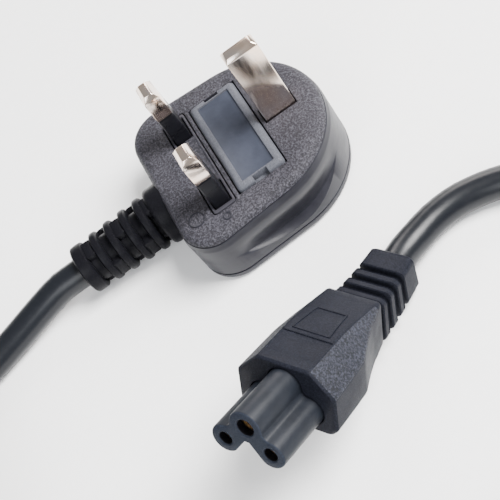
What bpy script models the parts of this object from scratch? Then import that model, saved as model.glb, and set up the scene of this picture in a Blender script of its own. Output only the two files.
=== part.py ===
"""Moulded mains lead: a fused plug with three flat pins, a round cord, and a cloverleaf connector.

The plug lies on its back with its pins up. The connector rests on its tail with its nose raised, held by
the bend of its stiff cord. The spare length of the cord is wound into one tied coil beside them.
The origin is on the floor, straight below the point midway between the line and neutral pins.
"""

import math

import bmesh
import bpy
from mathutils import Matrix, Vector

MM = 0.001
CLEARANCE = 0.3 * MM  # gap between neighbouring pieces

# Plug body. Its own frame has the face at z = 0, +y towards the earth pin and +z along the pins.
FACE_HEIGHT = 16.9 * MM  # face above the floor, midway between the line and neutral pins
BACK_SLOPE = math.radians(3.0)  # the back is not parallel to the face: the earth end is thicker
DOME_RADIUS = 21.3 * MM
DOME_CENTRE = 11.2 * MM
BASE_HALF_WIDTH = 22.6 * MM
BASE_EDGE = 12.2 * MM
BASE_CORNER = 8.5 * MM
DOME_STEPS = 32
CORNER_STEPS = 5
FACE_ROUNDING = 2.2 * MM
SHADOW_GROOVE = 0.5 * MM  # groove between the textured face and the smooth side wall
RIM_BAND = 2.4 * MM  # height of the band around the back
BACK_ROUNDING = 1.8 * MM
SCOOP_DEPTH = 2.4 * MM
SCOOP_CENTRE = 11.0 * MM
SCOOP_HALF_LENGTH = 15.0 * MM
SCOOP_TOP = 3.4 * MM  # below the face
SCOOP_BOTTOM = 12.4 * MM

# Pins, to the standard's sizes.
LIVE_PIN_SPACING = 22.23 * MM
EARTH_PIN_OFFSET = 22.23 * MM
LIVE_PIN_WIDTH = 6.35 * MM
LIVE_PIN_THICKNESS = 4.0 * MM
LIVE_PIN_LENGTH = 17.7 * MM
EARTH_PIN_WIDTH = 8.0 * MM
EARTH_PIN_THICKNESS = 4.0 * MM
EARTH_PIN_LENGTH = 22.73 * MM
PIN_ROOT = 9.0 * MM  # length held inside the plug
PIN_TIP = 1.7 * MM
PIN_TIP_INSET = 1.1 * MM
EARTH_TIP = 1.0 * MM
EARTH_TIP_INSET = 0.9 * MM
SLEEVE_LENGTH = 9.4 * MM
SLEEVE_ROOT = 1.5 * MM
SLEEVE_WALL = 0.6 * MM
SLEEVE_PROFILE = (
    (0.0, -SLEEVE_ROOT),
    (0.0, SLEEVE_LENGTH),
    (SLEEVE_WALL, SLEEVE_LENGTH),
    (SLEEVE_WALL, -SLEEVE_ROOT),
)

# Hard insert that carries the line and neutral pins, flush with the face.
INSERT_HALF_LENGTH = 15.6 * MM
INSERT_HALF_WIDTH = 2.9 * MM
INSERT_DEPTH = 9.0 * MM
INSERT_CORNER = 0.8 * MM

# Fuse carrier and fuse.
CARRIER_CENTRE = 10.6 * MM
CARRIER_LENGTH = 29.2 * MM
CARRIER_WIDTH = 12.3 * MM
CARRIER_PROUD = 0.9 * MM
CARRIER_PLATE = 2.2 * MM  # below the face
CARRIER_BEVEL = 0.8 * MM
PANEL_RIM = 1.9 * MM
PANEL_DEPTH = 0.5 * MM
NOTCH_WIDTH = 3.6 * MM
NOTCH_DEPTH = 1.4 * MM
POCKET_DEPTH = 10.6 * MM
FUSE_LENGTH = 25.4 * MM
FUSE_RADIUS = 3.175 * MM
FUSE_CAP_LENGTH = 5.7 * MM
FUSE_CAP_WALL = 0.35 * MM
FUSE_DEPTH = 6.6 * MM  # fuse axis below the face
LEG_THICKNESS = 1.2 * MM
CHEEK_THICKNESS = 1.0 * MM
FUSE_SIDES = 20

# Cord.
CORD_DIAMETER = 7.4 * MM
CORD_RADIUS = CORD_DIAMETER / 2
TUBE_POINT_SPACING = 2.2 * CORD_DIAMETER
TUBE_RESOLUTION = 3
STRAIGHT_LEAD = 3.0 * MM  # the cord leaves a strain relief straight for this length

# Plug's strain relief, along -y.
RELIEF_DROP = 8.0 * MM  # its axis below the face
RELIEF_COLLAR_RADIUS = 7.4 * MM
RELIEF_COLLAR_END = 15.6 * MM
RELIEF_FIRST_RING = 17.9 * MM
RELIEF_PITCH = 4.3 * MM
RELIEF_RINGS = 5
RELIEF_RING_WIDTH = 2.2 * MM
RELIEF_LAST_RING_WIDTH = 3.4 * MM
RELIEF_RADIUS_FIRST = 7.0 * MM
RELIEF_RADIUS_LAST = 6.3 * MM
RELIEF_CORE_RADIUS = 4.7 * MM
RELIEF_WEB_WIDTH = 4.6 * MM
RELIEF_WEB_INSET = 0.5 * MM
RELIEF_SIDES = 24

# Connector. Its own frame has the front of the body at y = 0, +y along the nose and +z up, with the
# origin midway between the line and neutral contacts.
CONNECTOR_PLACE = Vector((69.3, -9.1, 23.4)) * MM
CONNECTOR_HEADING = math.radians(-144.0)  # turn about the upright
CONNECTOR_PITCH = math.radians(28.0)  # nose raised
CONTACT_SPACING = 10.0 * MM
CONTACT_EARTH_HEIGHT = 4.56 * MM
LIVE_LOBE_RADIUS = 3.1 * MM
EARTH_LOBE_RADIUS = 3.6 * MM
LOBE_WEB_WIDTH = 4.0 * MM
LOBE_FILLET = 0.18 * MM
NOSE_LENGTH = 13.5 * MM
NOSE_ROOT = 8.0 * MM
NOSE_STEPS = 60
NOSE_EDGE = 0.35 * MM
LIVE_ENTRY_RADIUS = 1.45 * MM
EARTH_ENTRY_RADIUS = 1.85 * MM
ENTRY_DEPTH = 1.8 * MM
CONTACT_WALL = 0.35 * MM
CONTACT_LENGTH = 12.0 * MM
CONTACT_SIDES = 16
BODY_WIDTH = 22.0 * MM
BODY_TOP = 9.5 * MM
BODY_BOTTOM = 4.8 * MM
BODY_FLAT = 11.6 * MM  # width of the flat top, the same from the front to the tail
BODY_CHAMFER_SLOPE = 0.97
BODY_FOOT = 1.6 * MM  # small chamfer at the lower edges
BODY_LENGTH = 27.0 * MM
BODY_WAIST = 12.4 * MM  # distance from the front at which the taper starts
BODY_TAPER_END = 5.6 * MM  # distance from the back at which the taper eases
REAR_WIDTH = 12.6 * MM
REAR_TOP = 7.6 * MM
REAR_BOTTOM = 4.4 * MM
TAIL_AXIS = 0.9 * MM  # height of the cord's axis at the back of the body
TAIL_LENGTH = 18.0 * MM
TAIL_BEND = math.radians(16.0)
TAIL_RIBS = 4
TAIL_RIB_SHARE = 0.56
TAIL_END_BLOCK = 4.0 * MM
TAIL_FIRST_WIDTH = 12.0 * MM
TAIL_LAST_WIDTH = 10.2 * MM
TAIL_FIRST_HEIGHT = 10.4 * MM
TAIL_LAST_HEIGHT = 9.2 * MM
TAIL_GROOVE = 1.5 * MM
TAIL_CORNER = 1.5 * MM

# Coil of the spare cord, and its tie.
COIL_PLACE = Vector((57.0, -112.5, 0.0)) * MM
COIL_COLUMNS = 2
COIL_LAYERS = 3
COIL_TURN_PITCH = 7.5 * MM
COIL_OUTER_TURN = 30.25 * MM  # radius of the outermost turn's centreline in the folds
COIL_HALF_RUN = 20.0 * MM  # from the hank's middle to where each fold begins
COIL_OUTSIDE = COIL_OUTER_TURN + CORD_RADIUS
COIL_INSIDE = COIL_OUTER_TURN - (COIL_COLUMNS - 1) * COIL_TURN_PITCH - CORD_RADIUS
COIL_HEIGHT = COIL_LAYERS * CORD_DIAMETER
COIL_CORNER = 2.4 * MM
PLUG_TUBE_SLANT = 0.78  # the tube's end meets the hank's fold at a slant
CONNECTOR_TUBE_SLANT = 1.0
COIL_STEPS = 48
TIE_ANGLE = math.radians(-90.0)
TIE_WIDTH = 5.0 * MM
TIE_THICKNESS = 1.2 * MM

# The cord's way along the floor, by hand: from the plug to the coil, and from the connector to the coil.
PLUG_SIDE_ROUTE = [
    (0.0, -44.0, 6.4),
    (1.4, -51.0, 5.3),
    (4.0, -60.0, 4.2),
    (6.8, -69.0, 3.75),
    (8.6, -77.5, 3.7),
    (8.9, -87.0, 3.7),
    (8.2, -96.0, 3.7),
    (7.1, -105.0, 3.7),
]
CONNECTOR_SIDE_ROUTE = [
    (41.2, 31.4, 4.1),
    (39.3, 37.6, 3.8),
    (39.0, 45.0, 3.7),
    (41.6, 54.6, 3.7),
    (47.6, 63.8, 3.7),
    (57.0, 70.6, 3.7),
    (69.0, 73.4, 3.7),
    (81.4, 71.6, 3.7),
    (92.6, 64.4, 3.7),
    (100.4, 53.0, 3.7),
    (104.8, 38.0, 3.7),
    (106.8, 20.0, 3.7),
    (107.2, 0.0, 3.7),
    (107.2, -22.0, 3.7),
    (107.2, -42.0, 3.7),
    (107.2, -58.0, 4.1),
    (107.2, -73.0, 5.6),
    (107.2, -87.0, 8.2),
    (107.2, -100.0, 10.6),
]


def clear_objects():
    """Empty the scene."""
    for item in list(bpy.data.objects):
        bpy.data.objects.remove(item, do_unlink=True)


def material(name, colour, roughness, metallic=0.0):
    """A Principled material for one kind of piece."""
    found = bpy.data.materials.get(name)
    if found:
        return found
    made = bpy.data.materials.new(name)
    made.use_nodes = True
    shader = made.node_tree.nodes["Principled BSDF"]
    shader.inputs["Base Color"].default_value = (*colour, 1.0)
    shader.inputs["Roughness"].default_value = roughness
    shader.inputs["Metallic"].default_value = metallic
    made.diffuse_color = (*colour, 1.0)
    return made


def empty(name, place, turn):
    """A named frame that pieces are built in."""
    frame = bpy.data.objects.new(name, None)
    frame.location = place
    frame.rotation_euler = turn
    bpy.context.scene.collection.objects.link(frame)
    return frame


def add(name, shape, finish=None, parent=None, sharp_angle=35.0):
    """Turn a bmesh into an object of the scene."""
    bmesh.ops.recalc_face_normals(shape, faces=shape.faces)
    mesh = bpy.data.meshes.new(name)
    shape.to_mesh(mesh)
    shape.free()
    mesh.shade_smooth()
    mesh.set_sharp_from_angle(angle=math.radians(sharp_angle))
    piece = bpy.data.objects.new(name, mesh)
    bpy.context.scene.collection.objects.link(piece)
    piece.parent = parent
    if finish:
        mesh.materials.append(finish)
    return piece


def combine(piece, tool, operation):
    """Join a tool to a piece or cut it out, and keep the tool out of the model."""
    step = piece.modifiers.new(f"{operation.lower()} {tool.name}", "BOOLEAN")
    step.operation = operation
    step.solver = "EXACT"
    step.object = tool
    tool.hide_render = True
    tool.display_type = "WIRE"


def loft(rings, shape=None):
    """A closed solid through rings of points, with flat ends."""
    shape = shape or bmesh.new()
    loops = [[shape.verts.new(point) for point in ring] for ring in rings]
    count = len(rings[0])
    for lower, upper in zip(loops, loops[1:]):
        for k in range(count):
            following = (k + 1) % count
            shape.faces.new((lower[k], lower[following], upper[following], upper[k]))
    shape.faces.new(list(reversed(loops[0])))
    shape.faces.new(loops[-1])
    return shape


def block(low, high, shape=None):
    """A box between two corners."""
    shape = shape or bmesh.new()
    size = Vector(high) - Vector(low)
    middle = (Vector(high) + Vector(low)) / 2
    place = Matrix.Translation(middle) @ Matrix.Diagonal((*size, 1.0))
    bmesh.ops.create_cube(shape, size=1.0, matrix=place)
    return shape


def turned(profile, sides, axis, centre=Vector((0, 0, 0))):
    """A closed turned solid: profile is (distance along the axis, radius), both ends on flat discs."""
    along = Vector(axis).normalized()
    side = along.orthogonal().normalized()
    up = along.cross(side)
    rings = []
    for distance, radius in profile:
        ring = []
        for k in range(sides):
            angle = 2 * math.pi * k / sides
            ring.append(centre + along * distance + radius * (side * math.cos(angle) + up * math.sin(angle)))
        rings.append(ring)
    return loft(rings)


def tube(profile, sides, axis, centre=Vector((0, 0, 0))):
    """A turned wall with an opening: profile is a closed loop of (distance along the axis, radius)."""
    along = Vector(axis).normalized()
    side = along.orthogonal().normalized()
    up = along.cross(side)
    shape = bmesh.new()
    loops = []
    for k in range(sides):
        angle = 2 * math.pi * k / sides
        out = side * math.cos(angle) + up * math.sin(angle)
        places = [centre + along * distance + out * radius for distance, radius in profile]
        loops.append([shape.verts.new(place) for place in places])
    count = len(profile)
    for k in range(sides):
        this, following = loops[k], loops[(k + 1) % sides]
        for m in range(count):
            n = (m + 1) % count
            shape.faces.new((this[m], this[n], following[n], following[m]))
    return shape


def rounded_rectangle(half_x, half_y, corner, steps=3):
    """The outline of a rectangle with round corners, as (x, y) points."""
    points = []
    for quarter, (sx, sy) in enumerate(((1, 1), (-1, 1), (-1, -1), (1, -1))):
        for k in range(steps + 1):
            angle = math.pi / 2 * (quarter + k / steps)
            x = sx * (half_x - corner) + corner * math.cos(angle)
            y = sy * (half_y - corner) + corner * math.sin(angle)
            points.append((x, y))
    return points


def plug_outline(inset):
    """The plug's bell-shaped outline, drawn in by inset, as (x, y) points."""
    base_side = BASE_HALF_WIDTH - BASE_CORNER
    base_height = BASE_CORNER - BASE_EDGE
    draft = math.atan2(BASE_HALF_WIDTH - DOME_RADIUS, DOME_CENTRE - base_height)
    arcs = [
        (base_side, base_height, BASE_CORNER, -math.pi / 2, draft, CORNER_STEPS),
        (0.0, DOME_CENTRE, DOME_RADIUS, draft, math.pi - draft, DOME_STEPS),
        (-base_side, base_height, BASE_CORNER, math.pi - draft, 1.5 * math.pi, CORNER_STEPS),
    ]
    points = []
    for x, y, radius, start, end, steps in arcs:
        for k in range(steps + 1):
            angle = start + (end - start) * k / steps
            reach = radius - inset
            points.append((x + reach * math.cos(angle), y + reach * math.sin(angle)))
    return points


def back_of_plug(y):
    """Height of the plug's flat back in the plug's frame, which is the floor."""
    return -(FACE_HEIGHT + y * math.sin(BACK_SLOPE)) / math.cos(BACK_SLOPE)


def scoop_depth(y, depth):
    """How far the finger scoop draws in the side wall, at a place along it and a depth below the face."""
    along = abs(y - SCOOP_CENTRE) / SCOOP_HALF_LENGTH
    if along >= 1 or not SCOOP_TOP < depth < SCOOP_BOTTOM:
        return 0.0
    down = (depth - SCOOP_TOP) / (SCOOP_BOTTOM - SCOOP_TOP)
    return SCOOP_DEPTH * math.cos(along * math.pi / 2) ** 1.2 * math.sin(down**1.5 * math.pi) ** 0.9


def plug_shell():
    """The plug's body without its cuts."""
    rings = []
    near_face = [
        (FACE_ROUNDING, 0.0),
        (0.45 * FACE_ROUNDING, 0.12 * FACE_ROUNDING),
        (0.2 * FACE_ROUNDING, 0.45 * FACE_ROUNDING),
        (0.2 * FACE_ROUNDING + SHADOW_GROOVE, 0.75 * FACE_ROUNDING),
        (0.1 * FACE_ROUNDING, FACE_ROUNDING),
    ]
    for inset, depth in near_face:
        rings.append([(x, y, -depth) for x, y in plug_outline(inset)])
    wall_steps = 8
    for k in range(wall_steps + 1):
        depth = SCOOP_TOP + (SCOOP_BOTTOM - SCOOP_TOP) * k / wall_steps
        ring = []
        for (x, y), (inner_x, inner_y) in zip(plug_outline(0.0), plug_outline(MM)):
            pull = scoop_depth(y, depth) / MM * min(1.0, abs(x) / (0.5 * DOME_RADIUS))
            ring.append((x + (inner_x - x) * pull, y + (inner_y - y) * pull, -depth))
        rings.append(ring)
    near_back = [
        (0.0, RIM_BAND + SHADOW_GROOVE),
        (SHADOW_GROOVE, RIM_BAND),
        (0.0, RIM_BAND - SHADOW_GROOVE),
        (0.3 * BACK_ROUNDING, 0.3 * BACK_ROUNDING),
        (BACK_ROUNDING, 0.0),
    ]
    for inset, rise in near_back:
        rings.append([(x, y, back_of_plug(y) + rise) for x, y in plug_outline(inset)])
    return loft(rings)


def relief_end():
    """Distance of the strain relief's end from the line between the pins."""
    last_ring = RELIEF_FIRST_RING + (RELIEF_RINGS - 1) * RELIEF_PITCH
    return last_ring + RELIEF_LAST_RING_WIDTH - RELIEF_RING_WIDTH / 2


def relief_shell():
    """The plug's strain relief: a collar, a core and rings, turned about the cord's axis."""
    profile = [
        (BASE_EDGE - BASE_CORNER / 2, RELIEF_COLLAR_RADIUS),
        (RELIEF_COLLAR_END - 0.6 * MM, RELIEF_COLLAR_RADIUS),
        (RELIEF_COLLAR_END, RELIEF_COLLAR_RADIUS - 0.6 * MM),
        (RELIEF_COLLAR_END, RELIEF_CORE_RADIUS),
    ]
    for k in range(RELIEF_RINGS):
        share = k / (RELIEF_RINGS - 1)
        radius = RELIEF_RADIUS_FIRST + (RELIEF_RADIUS_LAST - RELIEF_RADIUS_FIRST) * share
        start = RELIEF_FIRST_RING + k * RELIEF_PITCH - RELIEF_RING_WIDTH / 2
        last = k == RELIEF_RINGS - 1
        width = RELIEF_LAST_RING_WIDTH if last else RELIEF_RING_WIDTH
        edge = 0.25 * RELIEF_RING_WIDTH
        profile += [(start, RELIEF_CORE_RADIUS), (start, radius - edge), (start + edge, radius)]
        profile += [(start + width - edge, radius), (start + width, radius - edge)]
        if not last:
            profile += [(start + width, RELIEF_CORE_RADIUS)]
    return turned(profile, RELIEF_SIDES, (0, -1, 0), Vector((0, 0, -RELIEF_DROP)))


def relief_webs():
    """The webs that join the strain relief's rings, turned a quarter from gap to gap."""
    shape = bmesh.new()
    half = RELIEF_WEB_WIDTH / 2
    for k in range(RELIEF_RINGS):
        ring_end = RELIEF_COLLAR_END if k == 0 else RELIEF_FIRST_RING + (k - 0.5) * RELIEF_PITCH
        middle = RELIEF_FIRST_RING + (k - 1) * RELIEF_PITCH + RELIEF_PITCH / 2 if k else None
        start = (ring_end if k == 0 else middle - RELIEF_PITCH / 2) - 0.3 * MM
        end = RELIEF_FIRST_RING + k * RELIEF_PITCH - 0.3 * MM
        share = k / (RELIEF_RINGS - 1)
        radius = RELIEF_RADIUS_FIRST + (RELIEF_RADIUS_LAST - RELIEF_RADIUS_FIRST) * share - RELIEF_WEB_INSET
        inner = RELIEF_CORE_RADIUS - 1.0 * MM
        for sign in (-1, 1):
            low, high = sorted((sign * inner, sign * radius))
            if k % 2:
                block((low, -end, -half - RELIEF_DROP), (high, -start, half - RELIEF_DROP), shape)
            else:
                block((-half, -end, low - RELIEF_DROP), (half, -start, high - RELIEF_DROP), shape)
    return shape


def make_plug_body(frame):
    """The plug's soft moulding with its strain relief, pocket, insert recess and earth pin slot."""
    soft = material("black grained moulding", (0.035, 0.035, 0.04), 0.55)
    body = add("plug_body", plug_shell(), soft, frame)
    combine(body, add("relief form", relief_shell(), None, frame), "UNION")
    combine(body, add("relief webs", relief_webs(), None, frame), "UNION")
    pocket_x = CARRIER_LENGTH / 2 + CLEARANCE
    pocket_y = CARRIER_WIDTH / 2 + CLEARANCE
    above = 2 * MM
    pocket = block(
        (-pocket_x, CARRIER_CENTRE - pocket_y, -POCKET_DEPTH), (pocket_x, CARRIER_CENTRE + pocket_y, above)
    )
    combine(body, add("fuse pocket", pocket, None, frame), "DIFFERENCE")
    outline = rounded_rectangle(
        INSERT_HALF_LENGTH + CLEARANCE, INSERT_HALF_WIDTH + CLEARANCE, INSERT_CORNER + CLEARANCE
    )
    recess = loft([[(x, y, z) for x, y in outline] for z in (-INSERT_DEPTH - CLEARANCE, above)])
    combine(body, add("insert recess", recess, None, frame), "DIFFERENCE")
    slot_x = EARTH_PIN_THICKNESS / 2 + CLEARANCE
    slot_y = EARTH_PIN_WIDTH / 2 + CLEARANCE
    slot = block(
        (-slot_x, EARTH_PIN_OFFSET - slot_y, -PIN_ROOT - CLEARANCE),
        (slot_x, EARTH_PIN_OFFSET + slot_y, above),
    )
    combine(body, add("earth pin slot", slot, None, frame), "DIFFERENCE")
    return body


def live_pin_places():
    """The two live pins: name and place along x."""
    return (("line_pin", -LIVE_PIN_SPACING / 2), ("neutral_pin", LIVE_PIN_SPACING / 2))


def neck_half_size():
    """Half sizes of a live pin's neck inside its sleeve."""
    inset = SLEEVE_WALL + CLEARANCE
    return LIVE_PIN_WIDTH / 2 - inset, LIVE_PIN_THICKNESS / 2 - inset


def make_insert(frame):
    """The hard insert with a stepped hole for each live pin and its sleeve."""
    outline = rounded_rectangle(INSERT_HALF_LENGTH, INSERT_HALF_WIDTH, INSERT_CORNER)
    shape = loft([[(x, y, z) for x, y in outline] for z in (-INSERT_DEPTH, 0.0)])
    insert = add("pin_carrier", shape, material("black hard insert", (0.05, 0.05, 0.055), 0.35), frame)
    above = 2 * MM
    neck_x, neck_y = neck_half_size()
    for name, x in live_pin_places():
        half_x = LIVE_PIN_WIDTH / 2 + CLEARANCE
        half_y = LIVE_PIN_THICKNESS / 2 + CLEARANCE
        seat = block((x - half_x, -half_y, -SLEEVE_ROOT - CLEARANCE), (x + half_x, half_y, above))
        combine(insert, add(f"{name} seat", seat, None, frame), "DIFFERENCE")
        hole_x = neck_x + CLEARANCE
        hole_y = neck_y + CLEARANCE
        hole = block((x - hole_x, -hole_y, -INSERT_DEPTH - above), (x + hole_x, hole_y, 0.0))
        combine(insert, add(f"{name} hole", hole, None, frame), "DIFFERENCE")
    return insert


def rectangle(x, y, half_x, half_y, z):
    """Four corners at one height."""
    low_x, high_x = x - half_x, x + half_x
    low_y, high_y = y - half_y, y + half_y
    return [(low_x, low_y, z), (high_x, low_y, z), (high_x, high_y, z), (low_x, high_y, z)]


def make_pins(frame):
    """The earth pin, the two live pins and the sleeves on their roots."""
    metal = material("bright nickel", (0.72, 0.66, 0.6), 0.2, 1.0)
    sleeve_plastic = material("black sleeve", (0.02, 0.02, 0.022), 0.3)
    half_x = EARTH_PIN_THICKNESS / 2
    half_y = EARTH_PIN_WIDTH / 2
    rings = [
        rectangle(0, EARTH_PIN_OFFSET, half_x, half_y, -PIN_ROOT),
        rectangle(0, EARTH_PIN_OFFSET, half_x, half_y, EARTH_PIN_LENGTH - EARTH_TIP),
        rectangle(0, EARTH_PIN_OFFSET, half_x - EARTH_TIP_INSET, half_y - EARTH_TIP_INSET, EARTH_PIN_LENGTH),
    ]
    add("earth_pin", loft(rings), metal, frame)
    neck_x, neck_y = neck_half_size()
    for name, x in live_pin_places():
        half_x = LIVE_PIN_WIDTH / 2
        half_y = LIVE_PIN_THICKNESS / 2
        shoulder = SLEEVE_LENGTH + CLEARANCE
        rings = [
            rectangle(x, 0, neck_x, neck_y, -PIN_ROOT),
            rectangle(x, 0, neck_x, neck_y, shoulder),
            rectangle(x, 0, half_x, half_y, shoulder),
            rectangle(x, 0, half_x, half_y, LIVE_PIN_LENGTH - PIN_TIP),
            rectangle(x, 0, half_x - PIN_TIP_INSET, half_y - PIN_TIP_INSET, LIVE_PIN_LENGTH),
        ]
        add(name, loft(rings), metal, frame)
        wall = bmesh.new()
        loops = []
        for inset, z in SLEEVE_PROFILE:
            corners = rectangle(x, 0, half_x - inset, half_y - inset, z)
            loops.append([wall.verts.new(corner) for corner in corners])
        for k in range(4):
            this, following = loops[k], loops[(k + 1) % 4]
            for m in range(4):
                n = (m + 1) % 4
                wall.faces.new((this[m], this[n], following[n], following[m]))
        add(f"{name}_sleeve", wall, sleeve_plastic, frame)


def make_fuse_carrier(frame):
    """The drawer that lifts out of the face, with legs and cheeks that hold the fuse."""
    half_x = CARRIER_LENGTH / 2
    half_y = CARRIER_WIDTH / 2
    top = CARRIER_PROUD
    rings = [
        rectangle(0, CARRIER_CENTRE, half_x, half_y, -CARRIER_PLATE),
        rectangle(0, CARRIER_CENTRE, half_x, half_y, top - CARRIER_BEVEL),
        rectangle(0, CARRIER_CENTRE, half_x - 0.7 * CARRIER_BEVEL, half_y - 0.7 * CARRIER_BEVEL, top),
    ]
    plastic = material("grey fuse carrier", (0.11, 0.12, 0.14), 0.4)
    carrier = add("fuse_carrier", loft(rings), plastic, frame)
    leg_low = -FUSE_DEPTH - FUSE_RADIUS
    legs = bmesh.new()
    leg_inner = FUSE_LENGTH / 2 + CLEARANCE
    overlap = 0.4 * MM
    for sign in (-1, 1):
        low, high = sorted((sign * leg_inner, sign * (leg_inner + LEG_THICKNESS)))
        block(
            (low, CARRIER_CENTRE - 0.7 * FUSE_RADIUS, leg_low),
            (high, CARRIER_CENTRE + 0.7 * FUSE_RADIUS, -CARRIER_PLATE + overlap),
            legs,
        )
    cheek_inner = FUSE_RADIUS + CLEARANCE
    cheek_half = FUSE_LENGTH / 2 - FUSE_CAP_LENGTH - CLEARANCE
    for sign in (-1, 1):
        low, high = sorted((sign * cheek_inner, sign * (cheek_inner + CHEEK_THICKNESS)))
        block(
            (-cheek_half, CARRIER_CENTRE + low, -FUSE_DEPTH),
            (cheek_half, CARRIER_CENTRE + high, -CARRIER_PLATE + overlap),
            legs,
        )
    combine(carrier, add("carrier legs", legs, None, frame), "UNION")
    panel = block(
        (-half_x + PANEL_RIM, CARRIER_CENTRE - half_y + PANEL_RIM, top - PANEL_DEPTH),
        (half_x - PANEL_RIM, CARRIER_CENTRE + half_y - PANEL_RIM, top + MM),
    )
    combine(carrier, add("carrier panel", panel, None, frame), "DIFFERENCE")
    notches = bmesh.new()
    for sign in (-1, 1):
        low, high = sorted((sign * (half_x - NOTCH_DEPTH), sign * (half_x + MM)))
        block(
            (low, CARRIER_CENTRE - NOTCH_WIDTH / 2, -CARRIER_PLATE / 2),
            (high, CARRIER_CENTRE + NOTCH_WIDTH / 2, top + MM),
            notches,
        )
    combine(carrier, add("pry notches", notches, None, frame), "DIFFERENCE")
    return carrier


def make_fuse(frame):
    """The cartridge fuse: a ceramic barrel with a cupped cap on each end."""
    centre = Vector((0, CARRIER_CENTRE, -FUSE_DEPTH))
    half = FUSE_LENGTH / 2
    cap_start = half - FUSE_CAP_LENGTH
    bore = FUSE_RADIUS - FUSE_CAP_WALL
    spigot = bore - CLEARANCE
    shoulder = cap_start - CLEARANCE
    spigot_end = half - FUSE_CAP_WALL - CLEARANCE
    profile = [
        (-spigot_end, spigot),
        (-shoulder, spigot),
        (-shoulder, bore),
        (shoulder, bore),
        (shoulder, spigot),
        (spigot_end, spigot),
    ]
    ceramic = material("white ceramic", (0.75, 0.73, 0.68), 0.4)
    metal = material("bright nickel", (0.72, 0.66, 0.6), 0.2, 1.0)
    add("fuse_barrel", turned(profile, FUSE_SIDES, (1, 0, 0), centre), ceramic, frame)
    cup = [
        (half, FUSE_RADIUS - 0.4 * MM),
        (half - 0.4 * MM, FUSE_RADIUS),
        (cap_start, FUSE_RADIUS),
        (cap_start, bore),
        (half - FUSE_CAP_WALL, bore),
    ]
    for name, axis in (("fuse_cap_left", (-1, 0, 0)), ("fuse_cap_right", (1, 0, 0))):
        add(name, turned(cup, FUSE_SIDES, axis, centre), metal, frame)


def lobe_distance(x, z):
    """Distance of a point from the cloverleaf outline, less than nothing inside, with eased corners."""
    earth = Vector((0.0, CONTACT_EARTH_HEIGHT))
    point = Vector((x, z))
    parts = [(point - earth).length - EARTH_LOBE_RADIUS]
    for side in (-1, 1):
        lobe = Vector((side * CONTACT_SPACING / 2, 0.0))
        parts.append((point - lobe).length - LIVE_LOBE_RADIUS)
        along = lobe - earth
        share = min(1.0, max(0.0, (point - earth).dot(along) / along.length_squared))
        parts.append((point - earth - along * share).length - LOBE_WEB_WIDTH / 2)
    return -LOBE_FILLET * math.log(sum(math.exp(-part / LOBE_FILLET) for part in parts))


def trefoil(offset):
    """The nose's cloverleaf outline, grown by offset, as (x, z) points."""
    middle = CONTACT_EARTH_HEIGHT - EARTH_LOBE_RADIUS + LOBE_WEB_WIDTH / 4
    points = []
    for k in range(NOSE_STEPS):
        angle = 2 * math.pi * k / NOSE_STEPS
        inside = 0.0
        outside = 2 * CONTACT_SPACING
        for _ in range(24):
            reach = (inside + outside) / 2
            if lobe_distance(reach * math.cos(angle), middle + reach * math.sin(angle)) < offset:
                inside = reach
            else:
                outside = reach
        points.append((inside * math.cos(angle), middle + inside * math.sin(angle)))
    return points


def contact_places():
    """The three contacts: name, place on the front and radius of the entry hole."""
    return (
        ("contact_line", -CONTACT_SPACING / 2, 0.0, LIVE_ENTRY_RADIUS),
        ("contact_neutral", CONTACT_SPACING / 2, 0.0, LIVE_ENTRY_RADIUS),
        ("contact_earth", 0.0, CONTACT_EARTH_HEIGHT, EARTH_ENTRY_RADIUS),
    )


def make_nose(frame):
    """The cloverleaf nose with its stepped holes, and the sprung metal sockets in them."""
    front = NOSE_LENGTH
    rings = [
        [(x, -NOSE_ROOT, z) for x, z in trefoil(0.0)],
        [(x, front - NOSE_EDGE, z) for x, z in trefoil(0.0)],
        [(x, front, z) for x, z in trefoil(-NOSE_EDGE)],
    ]
    nose = add("contact_carrier", loft(rings), material("blue grey nose", (0.06, 0.07, 0.085), 0.45), frame)
    metal = material("contact brass", (0.7, 0.55, 0.3), 0.35, 1.0)
    for name, x, z, entry in contact_places():
        cavity = entry + CONTACT_WALL + CLEARANCE
        back = front - ENTRY_DEPTH - CONTACT_LENGTH - 2 * CLEARANCE
        profile = [
            (back, cavity),
            (front - ENTRY_DEPTH, cavity),
            (front - ENTRY_DEPTH, entry),
            (front + MM, entry),
        ]
        hole = turned(profile, CONTACT_SIDES, (0, 1, 0), Vector((x, 0, z)))
        combine(nose, add(f"{name} hole", hole, None, frame), "DIFFERENCE")
        start = back + CLEARANCE
        wall = [
            (start, entry + CONTACT_WALL),
            (start + CONTACT_LENGTH, entry + CONTACT_WALL),
            (start + CONTACT_LENGTH, entry - 0.1 * MM),
            (start, entry - 0.1 * MM),
        ]
        add(name, tube(wall, CONTACT_SIDES, (0, 1, 0), Vector((x, 0, z))), metal, frame)
    return nose


def body_section(y, width, top, bottom):
    """An upright section of the connector's body: a flat top of even width between two chamfers."""
    half = width / 2
    foot = BODY_FOOT
    flat = min(BODY_FLAT / 2, half - 0.5 * MM)
    drop = (half - flat) * BODY_CHAMFER_SLOPE
    return [
        (half - foot, y, -bottom),
        (half, y, -bottom + foot),
        (half, y, top - drop),
        (flat, y, top),
        (-flat, y, top),
        (-half, y, top - drop),
        (-half, y, -bottom + foot),
        (foot - half, y, -bottom),
    ]


def tail_frame(distance):
    """Middle and upward direction of the connector's bent tail, at a distance behind the body."""
    radius = TAIL_LENGTH / TAIL_BEND
    angle = distance / radius
    middle = Vector((0, -BODY_LENGTH - radius * math.sin(angle), TAIL_AXIS + radius * (1 - math.cos(angle))))
    upward = Vector((0, math.sin(angle), math.cos(angle)))
    return middle, upward


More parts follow.
